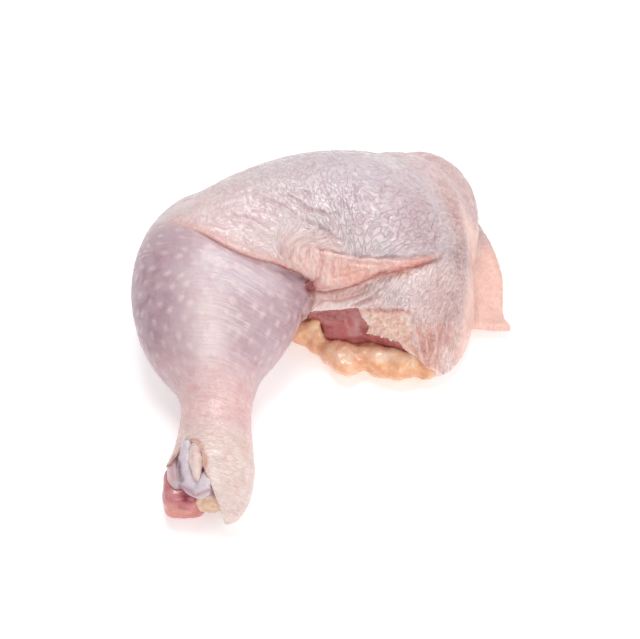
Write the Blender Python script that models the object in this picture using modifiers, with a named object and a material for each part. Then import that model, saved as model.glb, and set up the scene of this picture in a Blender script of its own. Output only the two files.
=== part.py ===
"""Raw chicken leg quarter, thigh and drumstick in one piece, lying skin side up.

The skin is a closed shell round a core of meat. It is open under the thigh, where the leg
was cut from the bird, and at the hock, where the shank was cut off. Sizes in the tables are
millimetres and are turned to metres as each mesh is made. +X runs from the knee along the
thigh to the hip, +Y from the hock back to the knee, and +Z is up from the table.
"""

import math

import bmesh
import bpy
import numpy as np
from mathutils import Matrix, Vector

MM = 0.001
PARTS = "Raw chicken leg quarter"
CUTTERS = "Cutters"

# ---------------------------------------------------------------- driving dimensions, mm
SKIN_THICKNESS = 1.8
FIT_GAP = 0.3
FORM_VOXEL = 1.0
CORE_VOXEL = 1.5
SMALL_VOXEL = 0.7
FINE_VOXEL = 0.35
SMOOTH_FACTOR = 0.5
SNAP_HEIGHT = 0.4

# Triangles left in each body before its neighbours are cut out of it.
OUTER_FACES = 6000
CORE_FACES = 1900
FAT_FACES = 620
BONE_FACES = 640
STUB_FACES = 240
TENDON_FACES = 160
LIGAMENT_FACES = 150

# Sections of the drumstick, one row each: y, left, right, underside, widest height of the
# left side, widest height of the right side, top.
DRUMSTICK = [
    (31.0, -38.0, -27.0, 19.0, 23.0, 23.0, 27.0),
    (29.5, -43.0, -22.0, 14.0, 24.0, 24.0, 32.0),
    (25.5, -49.5, -14.0, 6.0, 24.0, 24.0, 38.5),
    (17.0, -56.2, -8.0, 1.0, 24.0, 24.0, 44.5),
    (8.0, -59.8, -5.0, 0.0, 24.0, 24.0, 47.0),
    (-3.0, -61.3, -4.2, 0.0, 24.0, 24.0, 46.5),
    (-14.0, -60.4, -6.2, 0.0, 23.0, 23.0, 44.0),
    (-24.5, -56.8, -12.2, 0.0, 21.0, 21.0, 39.5),
    (-31.0, -52.0, -17.8, 0.5, 18.0, 18.0, 34.0),
    (-36.5, -46.6, -20.2, 1.5, 15.0, 15.0, 29.0),
    (-42.0, -44.2, -21.4, 2.0, 13.0, 13.0, 25.5),
    (-50.0, -44.2, -21.5, 1.5, 12.0, 12.0, 23.5),
    (-60.0, -45.8, -20.4, 0.5, 12.0, 12.0, 24.0),
    (-67.0, -48.2, -20.0, 0.0, 11.5, 11.5, 24.5),
    (-72.5, -48.4, -21.0, 0.0, 9.0, 10.5, 22.0),
    (-76.5, -46.0, -22.6, 0.5, 8.0, 9.5, 17.5),
    (-79.8, -34.0, -25.5, 2.5, 7.0, 7.0, 10.5),
]
DRUMSTICK_CORE_END = -70.0

# How a section bulges: its sides and its underside as powers of a circle's, the least half
# width, and how strongly the rows draw together where the sections are far apart.
SIDE_POWER = 0.95
UNDER_POWER = 0.72
LEAST_HALF = 0.4
ROW_POWER = 0.6

# Sections of the thigh, one row each: x, near side, far side, underside, widest height of the
# near side, widest height of the far side, top.
THIGH = [
    (-54.0, 9.0, 13.0, 19.0, 24.0, 24.0, 27.0),
    (-52.5, 4.0, 16.0, 13.0, 24.0, 24.0, 32.0),
    (-49.0, -2.0, 20.0, 6.0, 24.0, 24.0, 38.5),
    (-42.5, -7.5, 26.0, 1.0, 24.0, 24.0, 44.5),
    (-32.0, -10.0, 33.6, 0.0, 24.0, 24.0, 48.0),
    (-20.0, -11.0, 40.4, 0.0, 24.0, 24.0, 49.5),
    (-8.0, -11.0, 45.2, 0.0, 22.0, 24.0, 50.0),
    (6.0, -13.0, 48.2, 0.0, 16.0, 23.0, 49.8),
    (18.0, -17.5, 49.4, 0.0, 9.0, 21.0, 48.0),
    (29.0, -23.6, 48.0, 0.0, 6.0, 18.0, 44.0),
    (37.5, -26.0, 44.5, 0.0, 4.0, 14.0, 38.5),
    (44.0, -22.4, 37.0, 0.0, 4.0, 11.0, 31.0),
    (48.8, -15.0, 27.0, 1.5, 6.0, 10.0, 22.0),
    (51.5, -6.5, 17.0, 5.0, 9.5, 9.5, 14.5),
]

# The loose skin of the back, a thick roll that runs round the hip end: x, y, z, radius.
BACK_ROLL = [
    (4.0, 37.0, 14.0, 6.0),
    (14.0, 41.5, 13.0, 9.0),
    (27.0, 49.4, 12.5, 10.4),
    (37.5, 50.8, 12.0, 10.6),
    (42.8, 46.0, 11.2, 10.4),
    (45.6, 38.0, 10.6, 9.8),
    (46.6, 28.0, 10.0, 8.4),
    (46.8, 17.0, 9.0, 6.5),
]

# What the skin rises over between that roll and the thigh, and how far the hollows there fill.
SHOULDER = [
    (6.0, 36.0, 22.0, 9.0),
    (16.0, 39.0, 23.0, 10.5),
    (26.0, 40.5, 23.0, 11.5),
    (34.0, 37.5, 21.5, 11.5),
    (38.5, 30.0, 20.0, 11.0),
    (41.0, 20.0, 18.0, 10.0),
    (42.0, 9.0, 16.0, 8.5),
]
SHOULDER_CENTRE = (34.0, 34.0, 26.0)
SHOULDER_REACH = 30.0
SHOULDER_ROUNDS = 160
SHOULDER_FILLS = 3
SHOULDER_FADE = 4

# The tail flap, a sheet of skin that leaves the hip and lies out on the table, one row each:
# y, inner x, outer x, inner height, outer height.
FLAP = [
    (45.0, 45.0, 52.5, 8.0, 5.0),
    (38.0, 44.0, 56.5, 9.0, 3.6),
    (29.0, 43.0, 60.5, 10.0, 2.4),
    (19.0, 42.0, 62.8, 11.0, 1.9),
    (8.0, 42.0, 62.8, 11.0, 1.8),
    (0.0, 42.0, 62.2, 10.0, 1.9),
    (-4.0, 42.0, 63.4, 8.0, 2.8),
    (-7.0, 42.0, 64.4, 5.0, 4.6),
]
FLAP_THICKNESS = 3.0

# Creases, one row each: x, y, z, how far the skin over the crease stands out, how far the skin
# under it sinks, and how wide either side of the crease that reaches.
CREASES = {
    "thigh_over_drumstick": [
        (-45.0, 5.5, 44.5, 0.0, 0.0, 3.0),
        (-38.0, 0.5, 46.8, 0.5, 0.5, 3.0),
        (-30.0, -4.6, 46.4, 0.9, 1.0, 3.4),
        (-22.0, -7.3, 44.6, 1.2, 1.4, 3.8),
        (-14.0, -7.3, 41.0, 1.4, 1.8, 4.0),
        (-9.5, -6.8, 38.1, 1.6, 2.0, 4.2),
        (-6.2, -7.0, 36.9, 1.8, 2.2, 4.0),
        (-3.4, -8.1, 34.8, 2.0, 2.6, 2.6),
    ],
    "under_lip": [
        (-3.2, -9.4, 32.0, 1.8, 2.2, 2.4),
        (-0.6, -9.9, 31.4, 2.4, 2.2, 4.0),
        (2.8, -10.1, 31.7, 2.8, 2.2, 5.6),
        (8.0, -10.0, 33.4, 2.8, 2.0, 5.0),
        (13.5, -9.7, 35.7, 2.4, 1.8, 4.2),
        (19.0, -8.4, 38.2, 2.0, 1.6, 3.2),
        (27.0, -7.2, 39.2, 1.4, 1.2, 2.6),
        (33.5, -4.7, 38.7, 0.9, 0.8, 2.4),
        (40.0, 0.2, 36.0, 0.0, 0.0, 2.4),
    ],
    "inner_fold": [
        (-2.6, -10.7, 27.6, 1.0, 1.0, 2.2),
        (2.0, -10.9, 28.0, 1.0, 1.0, 2.2),
        (7.6, -11.1, 29.4, 0.9, 1.0, 2.2),
        (12.2, -10.5, 32.4, 0.6, 0.6, 2.0),
        (17.0, -9.8, 35.6, 0.0, 0.0, 2.0),
    ],
}
CREASE_UP = (0.0, 0.57, 0.82)
CREASE_SOFTNESS = 0.45
FLESH_SINKS = 0.6

# The torn edge of the skin over the meat, seen from the near side: x, z.
TORN_EDGE = [
    (-3.4, 20.5),
    (6.0, 22.5),
    (12.2, 25.0),
    (13.4, 21.5),
    (16.0, 18.5),
    (15.2, 14.5),
    (20.5, 15.5),
    (25.5, 16.5),
    (27.8, 13.8),
    (31.0, 12.5),
    (34.2, 9.5),
    (36.4, 4.0),
    (37.0, -6.0),
    (-3.4, -6.0),
]
TORN_EDGE_REACH = (-45.0, 7.0)

# The bare side of the thigh, where it was cut from the bird: an oval under the hip end.
BARE_SIDE_CENTRE = (16.0, 9.0)
BARE_SIDE_RADII = (22.0, 26.0)
BARE_SIDE_HEIGHTS = (-6.0, 3.2)
BARE_SIDE_CORNERS = 40
BARE_MUSCLE_CENTRE = (17.0, 10.0, 10.0)
BARE_MUSCLE_RADII = (17.5, 20.0, 10.4)

# The end of that muscle that shows between the torn edge and the fat.
WINDOW_MUSCLE_CENTRE = (9.0, -8.0, 7.0)
WINDOW_MUSCLE_RADII = (11.0, 7.0, 7.0)

# Lobes of fat along the foot of the torn edge: x, y, z, then the three radii.
FAT_LOBES = [
    (-4.5, -7.5, 4.6, 6.0, 5.0, 4.6),
    (0.6, -11.6, 3.8, 4.8, 4.0, 3.8),
    (4.4, -16.0, 4.2, 4.6, 4.2, 4.2),
    (9.0, -19.1, 4.6, 6.2, 4.8, 4.6),
    (15.0, -19.4, 4.8, 5.6, 4.4, 4.6),
    (20.0, -20.6, 5.2, 6.0, 5.0, 5.0),
    (26.0, -20.6, 6.2, 6.0, 5.6, 6.0),
    (31.0, -20.6, 6.4, 5.4, 5.4, 6.2),
    (34.8, -22.0, 4.8, 4.0, 4.8, 4.6),
    (10.0, -14.8, 3.2, 7.0, 5.0, 3.2),
    (20.0, -16.2, 4.2, 8.0, 5.0, 4.2),
]

# The opening at the hock, as an outline in a plane that leans back from the hock: x, and the
# distance up that plane. The opening is cut along the plane's facing, between two depths.
SLANT_FACING = (0.0, -0.574, 0.819)
SLANT_UP = (0.0, 0.819, 0.574)
HOCK_OPENING = [
    (-40.9, -36.5),
    (-39.0, -37.4),
    (-36.6, -41.0),
    (-34.6, -45.8),
    (-32.8, -50.2),
    (-31.2, -54.8),
    (-29.8, -59.4),
    (-28.6, -68.0),
    (-60.0, -68.0),
    (-60.0, -52.0),
    (-46.6, -45.2),
    (-43.2, -41.0),
]
HOCK_OPENING_DEPTHS = (40.0, 90.0)

# Where the flesh ends inside the hock: a point on that plane and its outward direction.
FLESH_END_POINT = (-37.8, -66.6, 11.0)
FLESH_END_FACING = (-0.56, -0.65, 0.51)
FLESH_END_SIZE = 34.0

# The shin bone: its shaft as x, y, z, radius, and the knuckle at its end as an ellipsoid.
SHAFT = [
    (-34.0, -14.0, 21.0, 3.2),
    (-33.0, -30.0, 17.0, 3.0),
    (-32.6, -45.0, 13.4, 2.9),
    (-34.0, -56.0, 13.0, 3.3),
    (-38.0, -66.0, 13.6, 4.4),
]
KNUCKLE_CENTRE = (-39.2, -66.6, 13.6)
KNUCKLE_RADII = (5.4, 6.4, 5.8)
# Cartilage that stands on the knuckle: a hooked ridge, and a low one beyond a groove.
KNUCKLE_RIDGES = [
    [
        (-40.7, -61.2, 18.4, 2.0),
        (-40.4, -64.6, 18.8, 2.5),
        (-40.2, -68.4, 18.2, 2.7),
        (-39.4, -71.2, 16.8, 3.1),
        (-37.0, -72.2, 15.8, 4.0),
        (-34.6, -72.0, 15.6, 5.2),
    ],
    [
        (-43.4, -62.8, 16.8, 1.5),
        (-44.7, -65.9, 15.2, 1.7),
        (-44.6, -69.2, 14.2, 1.7),
        (-43.0, -71.6, 13.4, 1.7),
    ],
]

# The tendon that lies over the knuckle: x, y, z, radius.
TENDON = [
    (-38.2, -61.6, 21.6, 0.9),
    (-37.9, -64.8, 22.8, 1.5),
    (-37.4, -68.0, 23.0, 1.9),
    (-37.2, -71.0, 21.8, 1.3),
    (-37.1, -73.4, 20.4, 0.6),
]

# The end of the shank left below the joint, a rounded block: centre, half sizes, and how
# square it is, from 1 for an ellipsoid down to 0 for a box.
STUB_CENTRE = (-42.0, -70.0, 6.6)
STUB_HALF = (6.2, 6.6, 6.6)
STUB_SQUARENESS = 0.46

# The ligament between the shank's end and the skin: x, y, z, radius.
LIGAMENT = [
    (-33.8, -66.0, 7.6, 3.6),
    (-33.8, -71.4, 9.6, 4.6),
    (-33.6, -76.4, 9.8, 4.0),
]

# Finish of each body: colour in linear light, and roughness.
FINISHES = {
    "skin": ((0.72, 0.61, 0.61), 0.42),
    "meat": ((0.43, 0.17, 0.18), 0.32),
    "fat": ((0.85, 0.52, 0.38), 0.36),
    "shin_bone": ((0.69, 0.58, 0.60), 0.28),
    "tendon": ((0.84, 0.68, 0.67), 0.34),
    "shank_stub": ((0.50, 0.14, 0.16), 0.34),
    "ligament": ((0.76, 0.45, 0.31), 0.38),
}
SHARP_ANGLE = 50.0


# ---------------------------------------------------------------- helpers
def clear_scene():
    for obj in list(bpy.data.objects):
        bpy.data.objects.remove(obj, do_unlink=True)


def collection(name):
    """The collection of that name, made and linked to the scene on first use."""
    if name not in bpy.data.collections:
        bpy.context.scene.collection.children.link(bpy.data.collections.new(name))
    return bpy.data.collections[name]


def object_from_bmesh(name, mesh, group=PARTS):
    bmesh.ops.recalc_face_normals(mesh, faces=mesh.faces)
    data = bpy.data.meshes.new(name)
    mesh.to_mesh(data)
    mesh.free()
    obj = bpy.data.objects.new(name, data)
    collection(group).objects.link(obj)
    return obj


def smooth_rows(keys, rows, count):
    """Rows between the given ones, on a smooth curve through each column."""
    keys, rows = np.array(keys, float), np.array(rows, float)
    slopes = np.gradient(rows, keys, axis=0)
    at = np.linspace(keys[0], keys[-1], count)
    i = np.clip(np.searchsorted(keys, at, side="right") - 1, 0, len(keys) - 2)
    span = (keys[i + 1] - keys[i])[:, None]
    t = (at - keys[i])[:, None] / span
    return (
        (2 * t**3 - 3 * t**2 + 1) * rows[i]
        + (t**3 - 2 * t**2 + t) * span * slopes[i]
        + (3 * t**2 - 2 * t**3) * rows[i + 1]
        + (t**3 - t**2) * span * slopes[i + 1]
    )


def through_rings(name, rings, group=PARTS):
    """A closed body through rings of points, each ring with the same number of points."""
    mesh = bmesh.new()
    loops = [[mesh.verts.new(Vector(p) * MM) for p in ring] for ring in rings]
    sides = len(loops[0])
    for first, second in zip(loops, loops[1:]):
        for i in range(sides):
            j = (i + 1) % sides
            mesh.faces.new((first[i], first[j], second[j], second[i]))
    mesh.faces.new(loops[0])
    mesh.faces.new(loops[-1])
    return object_from_bmesh(name, mesh, group)


def muscle(name, table, along, inset=0.0, rings=72, sides=48):
    """A body of flesh through oval sections, squarer below, where the table flattens it."""
    rows = np.array(table, float)
    keys = np.cumsum(np.concatenate([[0.0], np.abs(np.diff(rows[:, 0])) ** ROW_POWER]))
    angles = np.linspace(0.0, 2 * math.pi, sides, endpoint=False)
    c, s = np.cos(angles), np.sin(angles)
    made = []
    for at, lo, hi, low, wide_lo, wide_hi, top in smooth_rows(keys, rows, rings):
        half = max((hi - lo) / 2 - inset, LEAST_HALF)
        across = (lo + hi) / 2 + half * np.sign(c) * np.abs(c) ** SIDE_POWER
        wide = wide_lo + (wide_hi - wide_lo) * (1 + c) / 2
        above = np.maximum(top - wide - inset, LEAST_HALF) * np.abs(s)
        below = np.maximum(wide - low - inset, LEAST_HALF) * np.abs(s) ** UNDER_POWER
        height = np.where(s > 0, wide + above, wide - below)
        if along == "x":
            made.append([(at, a, z) for a, z in zip(across, height)])
        else:
            made.append([(a, at, z) for a, z in zip(across, height)])
    return through_rings(name, made)


def tube(name, points, sides=14, samples=5):
    """A round body along a smooth path of x, y, z, radius."""
    rows = np.array(points, float)
    steps = np.linalg.norm(np.diff(rows[:, :3], axis=0), axis=1)
    keys = np.concatenate([[0.0], np.cumsum(steps)])
    path = smooth_rows(keys, rows, samples * len(rows))
    along = np.gradient(path[:, :3], axis=0)
    along /= np.linalg.norm(along, axis=1)[:, None]
    side = np.cross(along, (0.0, 0.0, 1.0))
    side /= np.linalg.norm(side, axis=1)[:, None]
    over = np.cross(side, along)
    rings = []
    for point, a, b in zip(path, side, over):
        turns = [2 * math.pi * i / sides for i in range(sides)]
        rings.append(
            [point[:3] + point[3] * (math.cos(t) * a + math.sin(t) * b) for t in turns]
        )
    return through_rings(name, rings)


def ellipsoid(name, centre, radii, squareness=1.0, detail=4):
    """A ball stretched to three radii. Squareness under 1 fills it out towards a block."""
    mesh = bmesh.new()
    bmesh.ops.create_icosphere(mesh, subdivisions=detail, radius=1.0)
    for vert in mesh.verts:
        for k in range(3):
            unit = vert.co[k]
            full = math.copysign(abs(unit) ** squareness, unit)
            vert.co[k] = (centre[k] + radii[k] * full) * MM
    return object_from_bmesh(name, mesh)


def sheet(name, table, thickness, rows=24, columns=10):
    """A sheet that hangs from a high inner edge to a low outer edge, given a thickness."""
    rows_in = np.array(table, float)
    keys = np.cumsum(np.concatenate([[0.0], np.abs(np.diff(rows_in[:, 0]))]))
    mesh = bmesh.new()
    grid = []
    for y, x_in, x_out, z_in, z_out in smooth_rows(keys, rows_in, rows):
        line = []
        for t in np.linspace(0.0, 1.0, columns):
            x = x_in + (x_out - x_in) * t
            z = z_out + (z_in - z_out) * (1 - t) ** 2
            line.append(mesh.verts.new(Vector((x, y, z)) * MM))
        grid.append(line)
    for first, second in zip(grid, grid[1:]):
        for i in range(columns - 1):
            mesh.faces.new((first[i], first[i + 1], second[i + 1], second[i]))
    obj = object_from_bmesh(name, mesh)
    solid = obj.modifiers.new("Thickness", "SOLIDIFY")
    solid.thickness = thickness * MM
    solid.offset = 0
    return apply_modifiers(obj)


def prism(name, outline, along, start, end):
    """A flat outline pushed from start to end along y or z."""
    mesh = bmesh.new()
    if along == "y":
        corners = [Vector((x, start, z)) * MM for x, z in outline]
        push = Vector((0.0, end - start, 0.0)) * MM
    else:
        corners = [Vector((x, y, start)) * MM for x, y in outline]
        push = Vector((0.0, 0.0, end - start)) * MM
    face = mesh.faces.new([mesh.verts.new(p) for p in corners])
    made = bmesh.ops.extrude_face_region(mesh, geom=[face])
    moved = [g for g in made["geom"] if isinstance(g, bmesh.types.BMVert)]
    bmesh.ops.translate(mesh, verts=moved, vec=push)
    return object_from_bmesh(name, mesh, CUTTERS)


def slanted_prism(name, outline, depths):
    """An outline in the leaning plane, pushed along its facing from one depth to the other."""
    facing, up = np.array(SLANT_FACING), np.array(SLANT_UP)
    across = np.array((1.0, 0.0, 0.0))
    rings = [[u * across + v * up + d * facing for u, v in outline] for d in depths]
    return through_rings(name, rings, CUTTERS)


def slanted_box(name, point, facing, size):
    """A cube whose one face lies through the point, with the cube on the side it faces."""
    mesh = bmesh.new()
    bmesh.ops.create_cube(mesh, size=size * MM)
    obj = object_from_bmesh(name, mesh, CUTTERS)
    outward = Vector(facing).normalized()
    turn = outward.to_track_quat("Z", "Y").to_matrix().to_4x4()
    turn.translation = (Vector(point) + outward * size / 2) * MM
    obj.data.transform(turn)
    return obj


def bmesh_of(obj):
    """The object's mesh, opened for editing."""
    mesh = bmesh.new()
    mesh.from_mesh(obj.data)
    return mesh


def join(name, objects):
    """One object that holds the faces of several, which are removed."""
    mesh = bmesh.new()
    for obj in objects:
        mesh.from_mesh(obj.data)
        bpy.data.objects.remove(obj, do_unlink=True)
    return object_from_bmesh(name, mesh)


def apply_modifiers(obj):
    graph = bpy.context.evaluated_depsgraph_get()
    data = bpy.data.meshes.new_from_object(obj.evaluated_get(graph))
    obj.modifiers.clear()
    obj.data = data
    return obj


def fuse(obj, voxel, smoothing):
    """Melts overlapping bodies into one, with the seams between them softened."""
    remesh = obj.modifiers.new("Fuse", "REMESH")
    remesh.mode = "VOXEL"
    remesh.voxel_size = voxel * MM
    smooth = obj.modifiers.new("Soften", "SMOOTH")
    smooth.factor = SMOOTH_FACTOR
    smooth.iterations = smoothing
    return apply_modifiers(obj)


def thin_out(obj, faces):
    """Fewer triangles, kept where the form turns most."""
    triangles = sum(len(p.vertices) - 2 for p in obj.data.polygons)
    decimate = obj.modifiers.new("Thin", "DECIMATE")
    decimate.ratio = min(1.0, faces / triangles)
    decimate.use_collapse_triangulate = True
    return apply_modifiers(obj)


def offset_copy(obj, distance):
    """A cutter a little larger than the body, so that its neighbour keeps a gap to it."""
    mesh = bmesh_of(obj)
    mesh.normal_update()
    for vert in mesh.verts:
        vert.co += vert.normal * distance * MM
    return object_from_bmesh(obj.name + "_room", mesh, CUTTERS)


def cut(obj, cutters):
    """Takes each cutter out of the body."""
    for cutter in cutters:
        boolean = obj.modifiers.new("Cut", "BOOLEAN")
        boolean.operation = "DIFFERENCE"
        boolean.solver = "EXACT"
        boolean.object = cutter
        apply_modifiers(obj)
    return keep_largest(obj)


def keep_largest(obj):
    """Drops the loose scraps that a cut can leave."""
    mesh = bmesh_of(obj)
    bodies, unseen = [], set(mesh.verts)
    while unseen:
        body, front = set(), [unseen.pop()]
        while front:
            vert = front.pop()
            body.add(vert)
            near = {edge.other_vert(vert) for edge in vert.link_edges} & unseen
            unseen -= near
            front += near
        bodies.append(body)
    largest = max(bodies, key=len)
    scraps = [vert for vert in mesh.verts if vert not in largest]
    bmesh.ops.delete(mesh, geom=scraps, context="VERTS")
    mesh.to_mesh(obj.data)
    mesh.free()
    return obj


def move_points(obj, rule):
    """Replaces the points of a mesh by what the rule makes of them and their normals, in mm."""
    count = len(obj.data.vertices)
    points = np.empty(count * 3, np.float32)
    normals = np.empty(count * 3, np.float32)
    obj.data.vertices.foreach_get("co", points)
    obj.data.vertices.foreach_get("normal", normals)
    moved = rule(points.reshape(-1, 3) / MM, normals.reshape(-1, 3)) * MM
    obj.data.vertices.foreach_set("co", moved.astype(np.float32).ravel())
    obj.data.update()
    return obj


def fill_hollows(obj, centre, reach, rounds):
    """Raises the hollows near a point to the evened-out form, and lowers nothing."""
    evened = object_from_bmesh("evened", bmesh_of(obj), CUTTERS)
    smooth = evened.modifiers.new("Even out", "SMOOTH")
    smooth.factor = SMOOTH_FACTOR
    smooth.iterations = rounds
    apply_modifiers(evened)
    target = np.array([vert.co / MM for vert in evened.data.vertices])

    def rule(points, normals):
        rise = np.clip(((target - points) * normals).sum(axis=1), 0.0, None)
        near = np.exp(-((np.linalg.norm(points - centre, axis=1) / reach) ** SHOULDER_FADE))
        return points + normals * (rise * near)[:, None]

    return move_points(obj, rule)


# ---------------------------------------------------------------- folds in the skin
def nearest_on_line(points, line):
    """For each point: the vector to it from the line's nearest point, and the row there."""
    rows = np.array(line, float)
    best = np.full(len(points), np.inf)
    offset = np.zeros_like(points)
    values = np.zeros((len(points), rows.shape[1] - 3))
    for a, b in zip(rows, rows[1:]):
        run = b[:3] - a[:3]
        t = np.clip((points - a[:3]) @ run / (run @ run), 0.0, 1.0)[:, None]
        away = points - (a[:3] + t * run)
        distance = np.linalg.norm(away, axis=1)
        closer = distance < best
        best = np.where(closer, distance, best)
        offset[closer] = away[closer]
        values[closer] = (a[3:] + t * (b[3:] - a[3:]))[closer]
    return best, offset, values


def fold(points, normals, flesh=False):
    """Lets the skin stand over each crease and sink under it. Flesh only sinks, and deeper."""
    moved = points.copy()
    for line in CREASES.values():
        distance, offset, values = nearest_on_line(points, line)
        stands, sinks, spread = values.T
        over = np.tanh(offset @ np.array(CREASE_UP) / CREASE_SOFTNESS)
        step = np.where(over > 0, stands, sinks) * over
        if flesh:
            step = np.where(over > 0, 0.0, step) - FLESH_SINKS * np.minimum(stands, 1.0)
        fade = np.exp(-((distance / spread) ** 2))
        moved += normals * (step * fade)[:, None]
    return moved


def fold_flesh(points, normals):
    return fold(points, normals, flesh=True)


def settle(points, normals):
    """Rests the body on the table: what is lower than the snap height is flat."""
    moved = points.copy()
    moved[:, 2] = np.where(points[:, 2] < SNAP_HEIGHT, 0.0, points[:, 2])
    return moved


# ---------------------------------------------------------------- the bodies
def outer_form():
    """The whole leg from outside: both muscles, the loose back skin and the tail flap."""
    form = join(
        "skin",
        [
            muscle("drumstick", DRUMSTICK, "y"),
            muscle("thigh", THIGH, "x"),
            tube("back_roll", BACK_ROLL),
            tube("shoulder", SHOULDER),
            sheet("tail_flap", FLAP, FLAP_THICKNESS),
        ],
    )
    fuse(form, FORM_VOXEL, smoothing=3)
    for _ in range(SHOULDER_FILLS):
        fill_hollows(form, SHOULDER_CENTRE, SHOULDER_REACH, SHOULDER_ROUNDS)
    move_points(form, fold)
    thin_out(form, OUTER_FACES)
    return move_points(form, settle)


def core_form():
    """The meat under the skin, with the bare muscle that bulges out under the thigh."""
    drumstick = [row for row in DRUMSTICK[1:] if row[0] > DRUMSTICK_CORE_END]
    form = join(
        "meat",
        [
            muscle("drumstick_core", drumstick, "y", inset=SKIN_THICKNESS),
            muscle("thigh_core", THIGH[1:-1], "x", inset=SKIN_THICKNESS),
            ellipsoid("bare_muscle", BARE_MUSCLE_CENTRE, BARE_MUSCLE_RADII),
            ellipsoid("window_muscle", WINDOW_MUSCLE_CENTRE, WINDOW_MUSCLE_RADII),
        ],
    )
    fuse(form, CORE_VOXEL, smoothing=2)
    move_points(form, fold_flesh)
    thin_out(form, CORE_FACES)
    return move_points(form, settle)


def fat_form():
    lobes = [ellipsoid("lobe", lobe[:3], lobe[3:], detail=3) for lobe in FAT_LOBES]
    form = fuse(join("fat", lobes), SMALL_VOXEL, smoothing=3)
    thin_out(form, FAT_FACES)
    return move_points(form, settle)


def bone_form():
    pieces = [tube("shaft", SHAFT), ellipsoid("knuckle", KNUCKLE_CENTRE, KNUCKLE_RADII)]
    pieces += [tube("ridge", ridge) for ridge in KNUCKLE_RIDGES]
    form = fuse(join("shin_bone", pieces), SMALL_VOXEL, smoothing=3)
    return thin_out(form, BONE_FACES)


def tendon_form():
    form = fuse(tube("tendon", TENDON), FINE_VOXEL, smoothing=4)
    return thin_out(form, TENDON_FACES)


def stub_form():
    form = ellipsoid("shank_stub", STUB_CENTRE, STUB_HALF, STUB_SQUARENESS)
    thin_out(form, STUB_FACES)
    return move_points(form, settle)


def ligament_form():
    form = fuse(tube("ligament", LIGAMENT), SMALL_VOXEL, smoothing=3)
    return thin_out(form, LIGAMENT_FACES)


def bare_side_cutter():
    (cx, cy), (rx, ry) = BARE_SIDE_CENTRE, BARE_SIDE_RADII
    turns = [2 * math.pi * i / BARE_SIDE_CORNERS for i in range(BARE_SIDE_CORNERS)]
    outline = [(cx + rx * math.cos(t), cy + ry * math.sin(t)) for t in turns]
    return prism("bare_side", outline, "z", *BARE_SIDE_HEIGHTS)


def finish(obj):
    """Gives a body its material and smooth shading."""
    colour, roughness = FINISHES[obj.name]
    material = bpy.data.materials.new(obj.name)
    material.use_nodes = True
    shader = material.node_tree.nodes["Principled BSDF"]
    shader.inputs["Base Color"].default_value = (*colour, 1.0)
    shader.inputs["Roughness"].default_value = roughness
    shader.inputs["Metallic"].default_value = 0.0
    obj.data.materials.clear()
    obj.data.materials.append(material)
    obj.data.shade_smooth()
    obj.data.set_sharp_from_angle(angle=math.radians(SHARP_ANGLE))


def stand_on_origin(bodies):
    """Moves the whole leg so that the origin is under the middle of its box, on the table."""
    corners = np.array([obj.matrix_world @ Vector(c) for obj in bodies for c in obj.bound_box])
    low, high = corners.min(axis=0), corners.max(axis=0)
    shift = Matrix.Translation((-(low[0] + high[0]) / 2, -(low[1] + high[1]) / 2, -low[2]))
    for obj in bodies:
        obj.data.transform(shift)


def main():
    clear_scene()
    skin, meat, fat = outer_form(), core_form(), fat_form()
    bone, tendon, stub, ligament = bone_form(), tendon_form(), stub_form(), ligament_form()

    meat_room, bone_room = offset_copy(meat, FIT_GAP), offset_copy(bone, FIT_GAP)
    cut(tendon, [bone_room])
    cut(stub, [bone_room])
    stub_room = offset_copy(stub, FIT_GAP)
    cut(ligament, [bone_room, stub_room])
    cut(fat, [meat_room])
    tendon_room, ligament_room = offset_copy(tendon, FIT_GAP), offset_copy(ligament, FIT_GAP)
    joint_rooms = [bone_room, stub_room, tendon_room, ligament_room]

    torn_edge = prism("torn_edge", TORN_EDGE, "y", *TORN_EDGE_REACH)
    hock = slanted_prism("hock", HOCK_OPENING, HOCK_OPENING_DEPTHS)
    flesh_end = slanted_box("flesh_end", FLESH_END_POINT, FLESH_END_FACING, FLESH_END_SIZE)
    openings = [torn_edge, bare_side_cutter(), hock]
    cut(skin, openings + [meat_room, offset_copy(fat, FIT_GAP)] + joint_rooms)
    cut(meat, [flesh_end] + joint_rooms)

    for helper in list(collection(CUTTERS).objects):
        bpy.data.objects.remove(helper, do_unlink=True)
    bpy.data.collections.remove(collection(CUTTERS))
    bodies = [skin, meat, fat, bone, tendon, stub, ligament]
    stand_on_origin(bodies)
    for obj in bodies:
        finish(obj)


main()
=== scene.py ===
# %% [markdown]
# # A raw chicken leg quarter
# The thigh and the drumstick lie in one piece, skin side up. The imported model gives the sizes
# and the solids, and this script gives each solid its surface: wrinkled skin, red meat, soft
# fat, and the cut joint at the hock. Everything is measured in metres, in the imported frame.

# %% Load the frame
import math

import bmesh
import bpy
import numpy as np
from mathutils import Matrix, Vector, noise
from mathutils.bvhtree import BVHTree


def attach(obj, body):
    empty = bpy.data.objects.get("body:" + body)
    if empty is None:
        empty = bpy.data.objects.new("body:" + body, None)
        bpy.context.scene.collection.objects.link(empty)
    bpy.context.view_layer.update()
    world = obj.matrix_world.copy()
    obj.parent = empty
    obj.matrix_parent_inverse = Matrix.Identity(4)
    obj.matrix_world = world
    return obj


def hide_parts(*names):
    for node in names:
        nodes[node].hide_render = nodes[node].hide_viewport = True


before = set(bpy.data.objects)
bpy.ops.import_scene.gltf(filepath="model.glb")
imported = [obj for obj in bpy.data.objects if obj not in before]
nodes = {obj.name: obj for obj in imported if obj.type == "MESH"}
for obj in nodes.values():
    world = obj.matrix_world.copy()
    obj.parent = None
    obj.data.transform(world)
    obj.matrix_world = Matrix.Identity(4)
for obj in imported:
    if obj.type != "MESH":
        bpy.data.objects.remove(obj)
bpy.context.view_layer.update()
MM = 0.001
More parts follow.
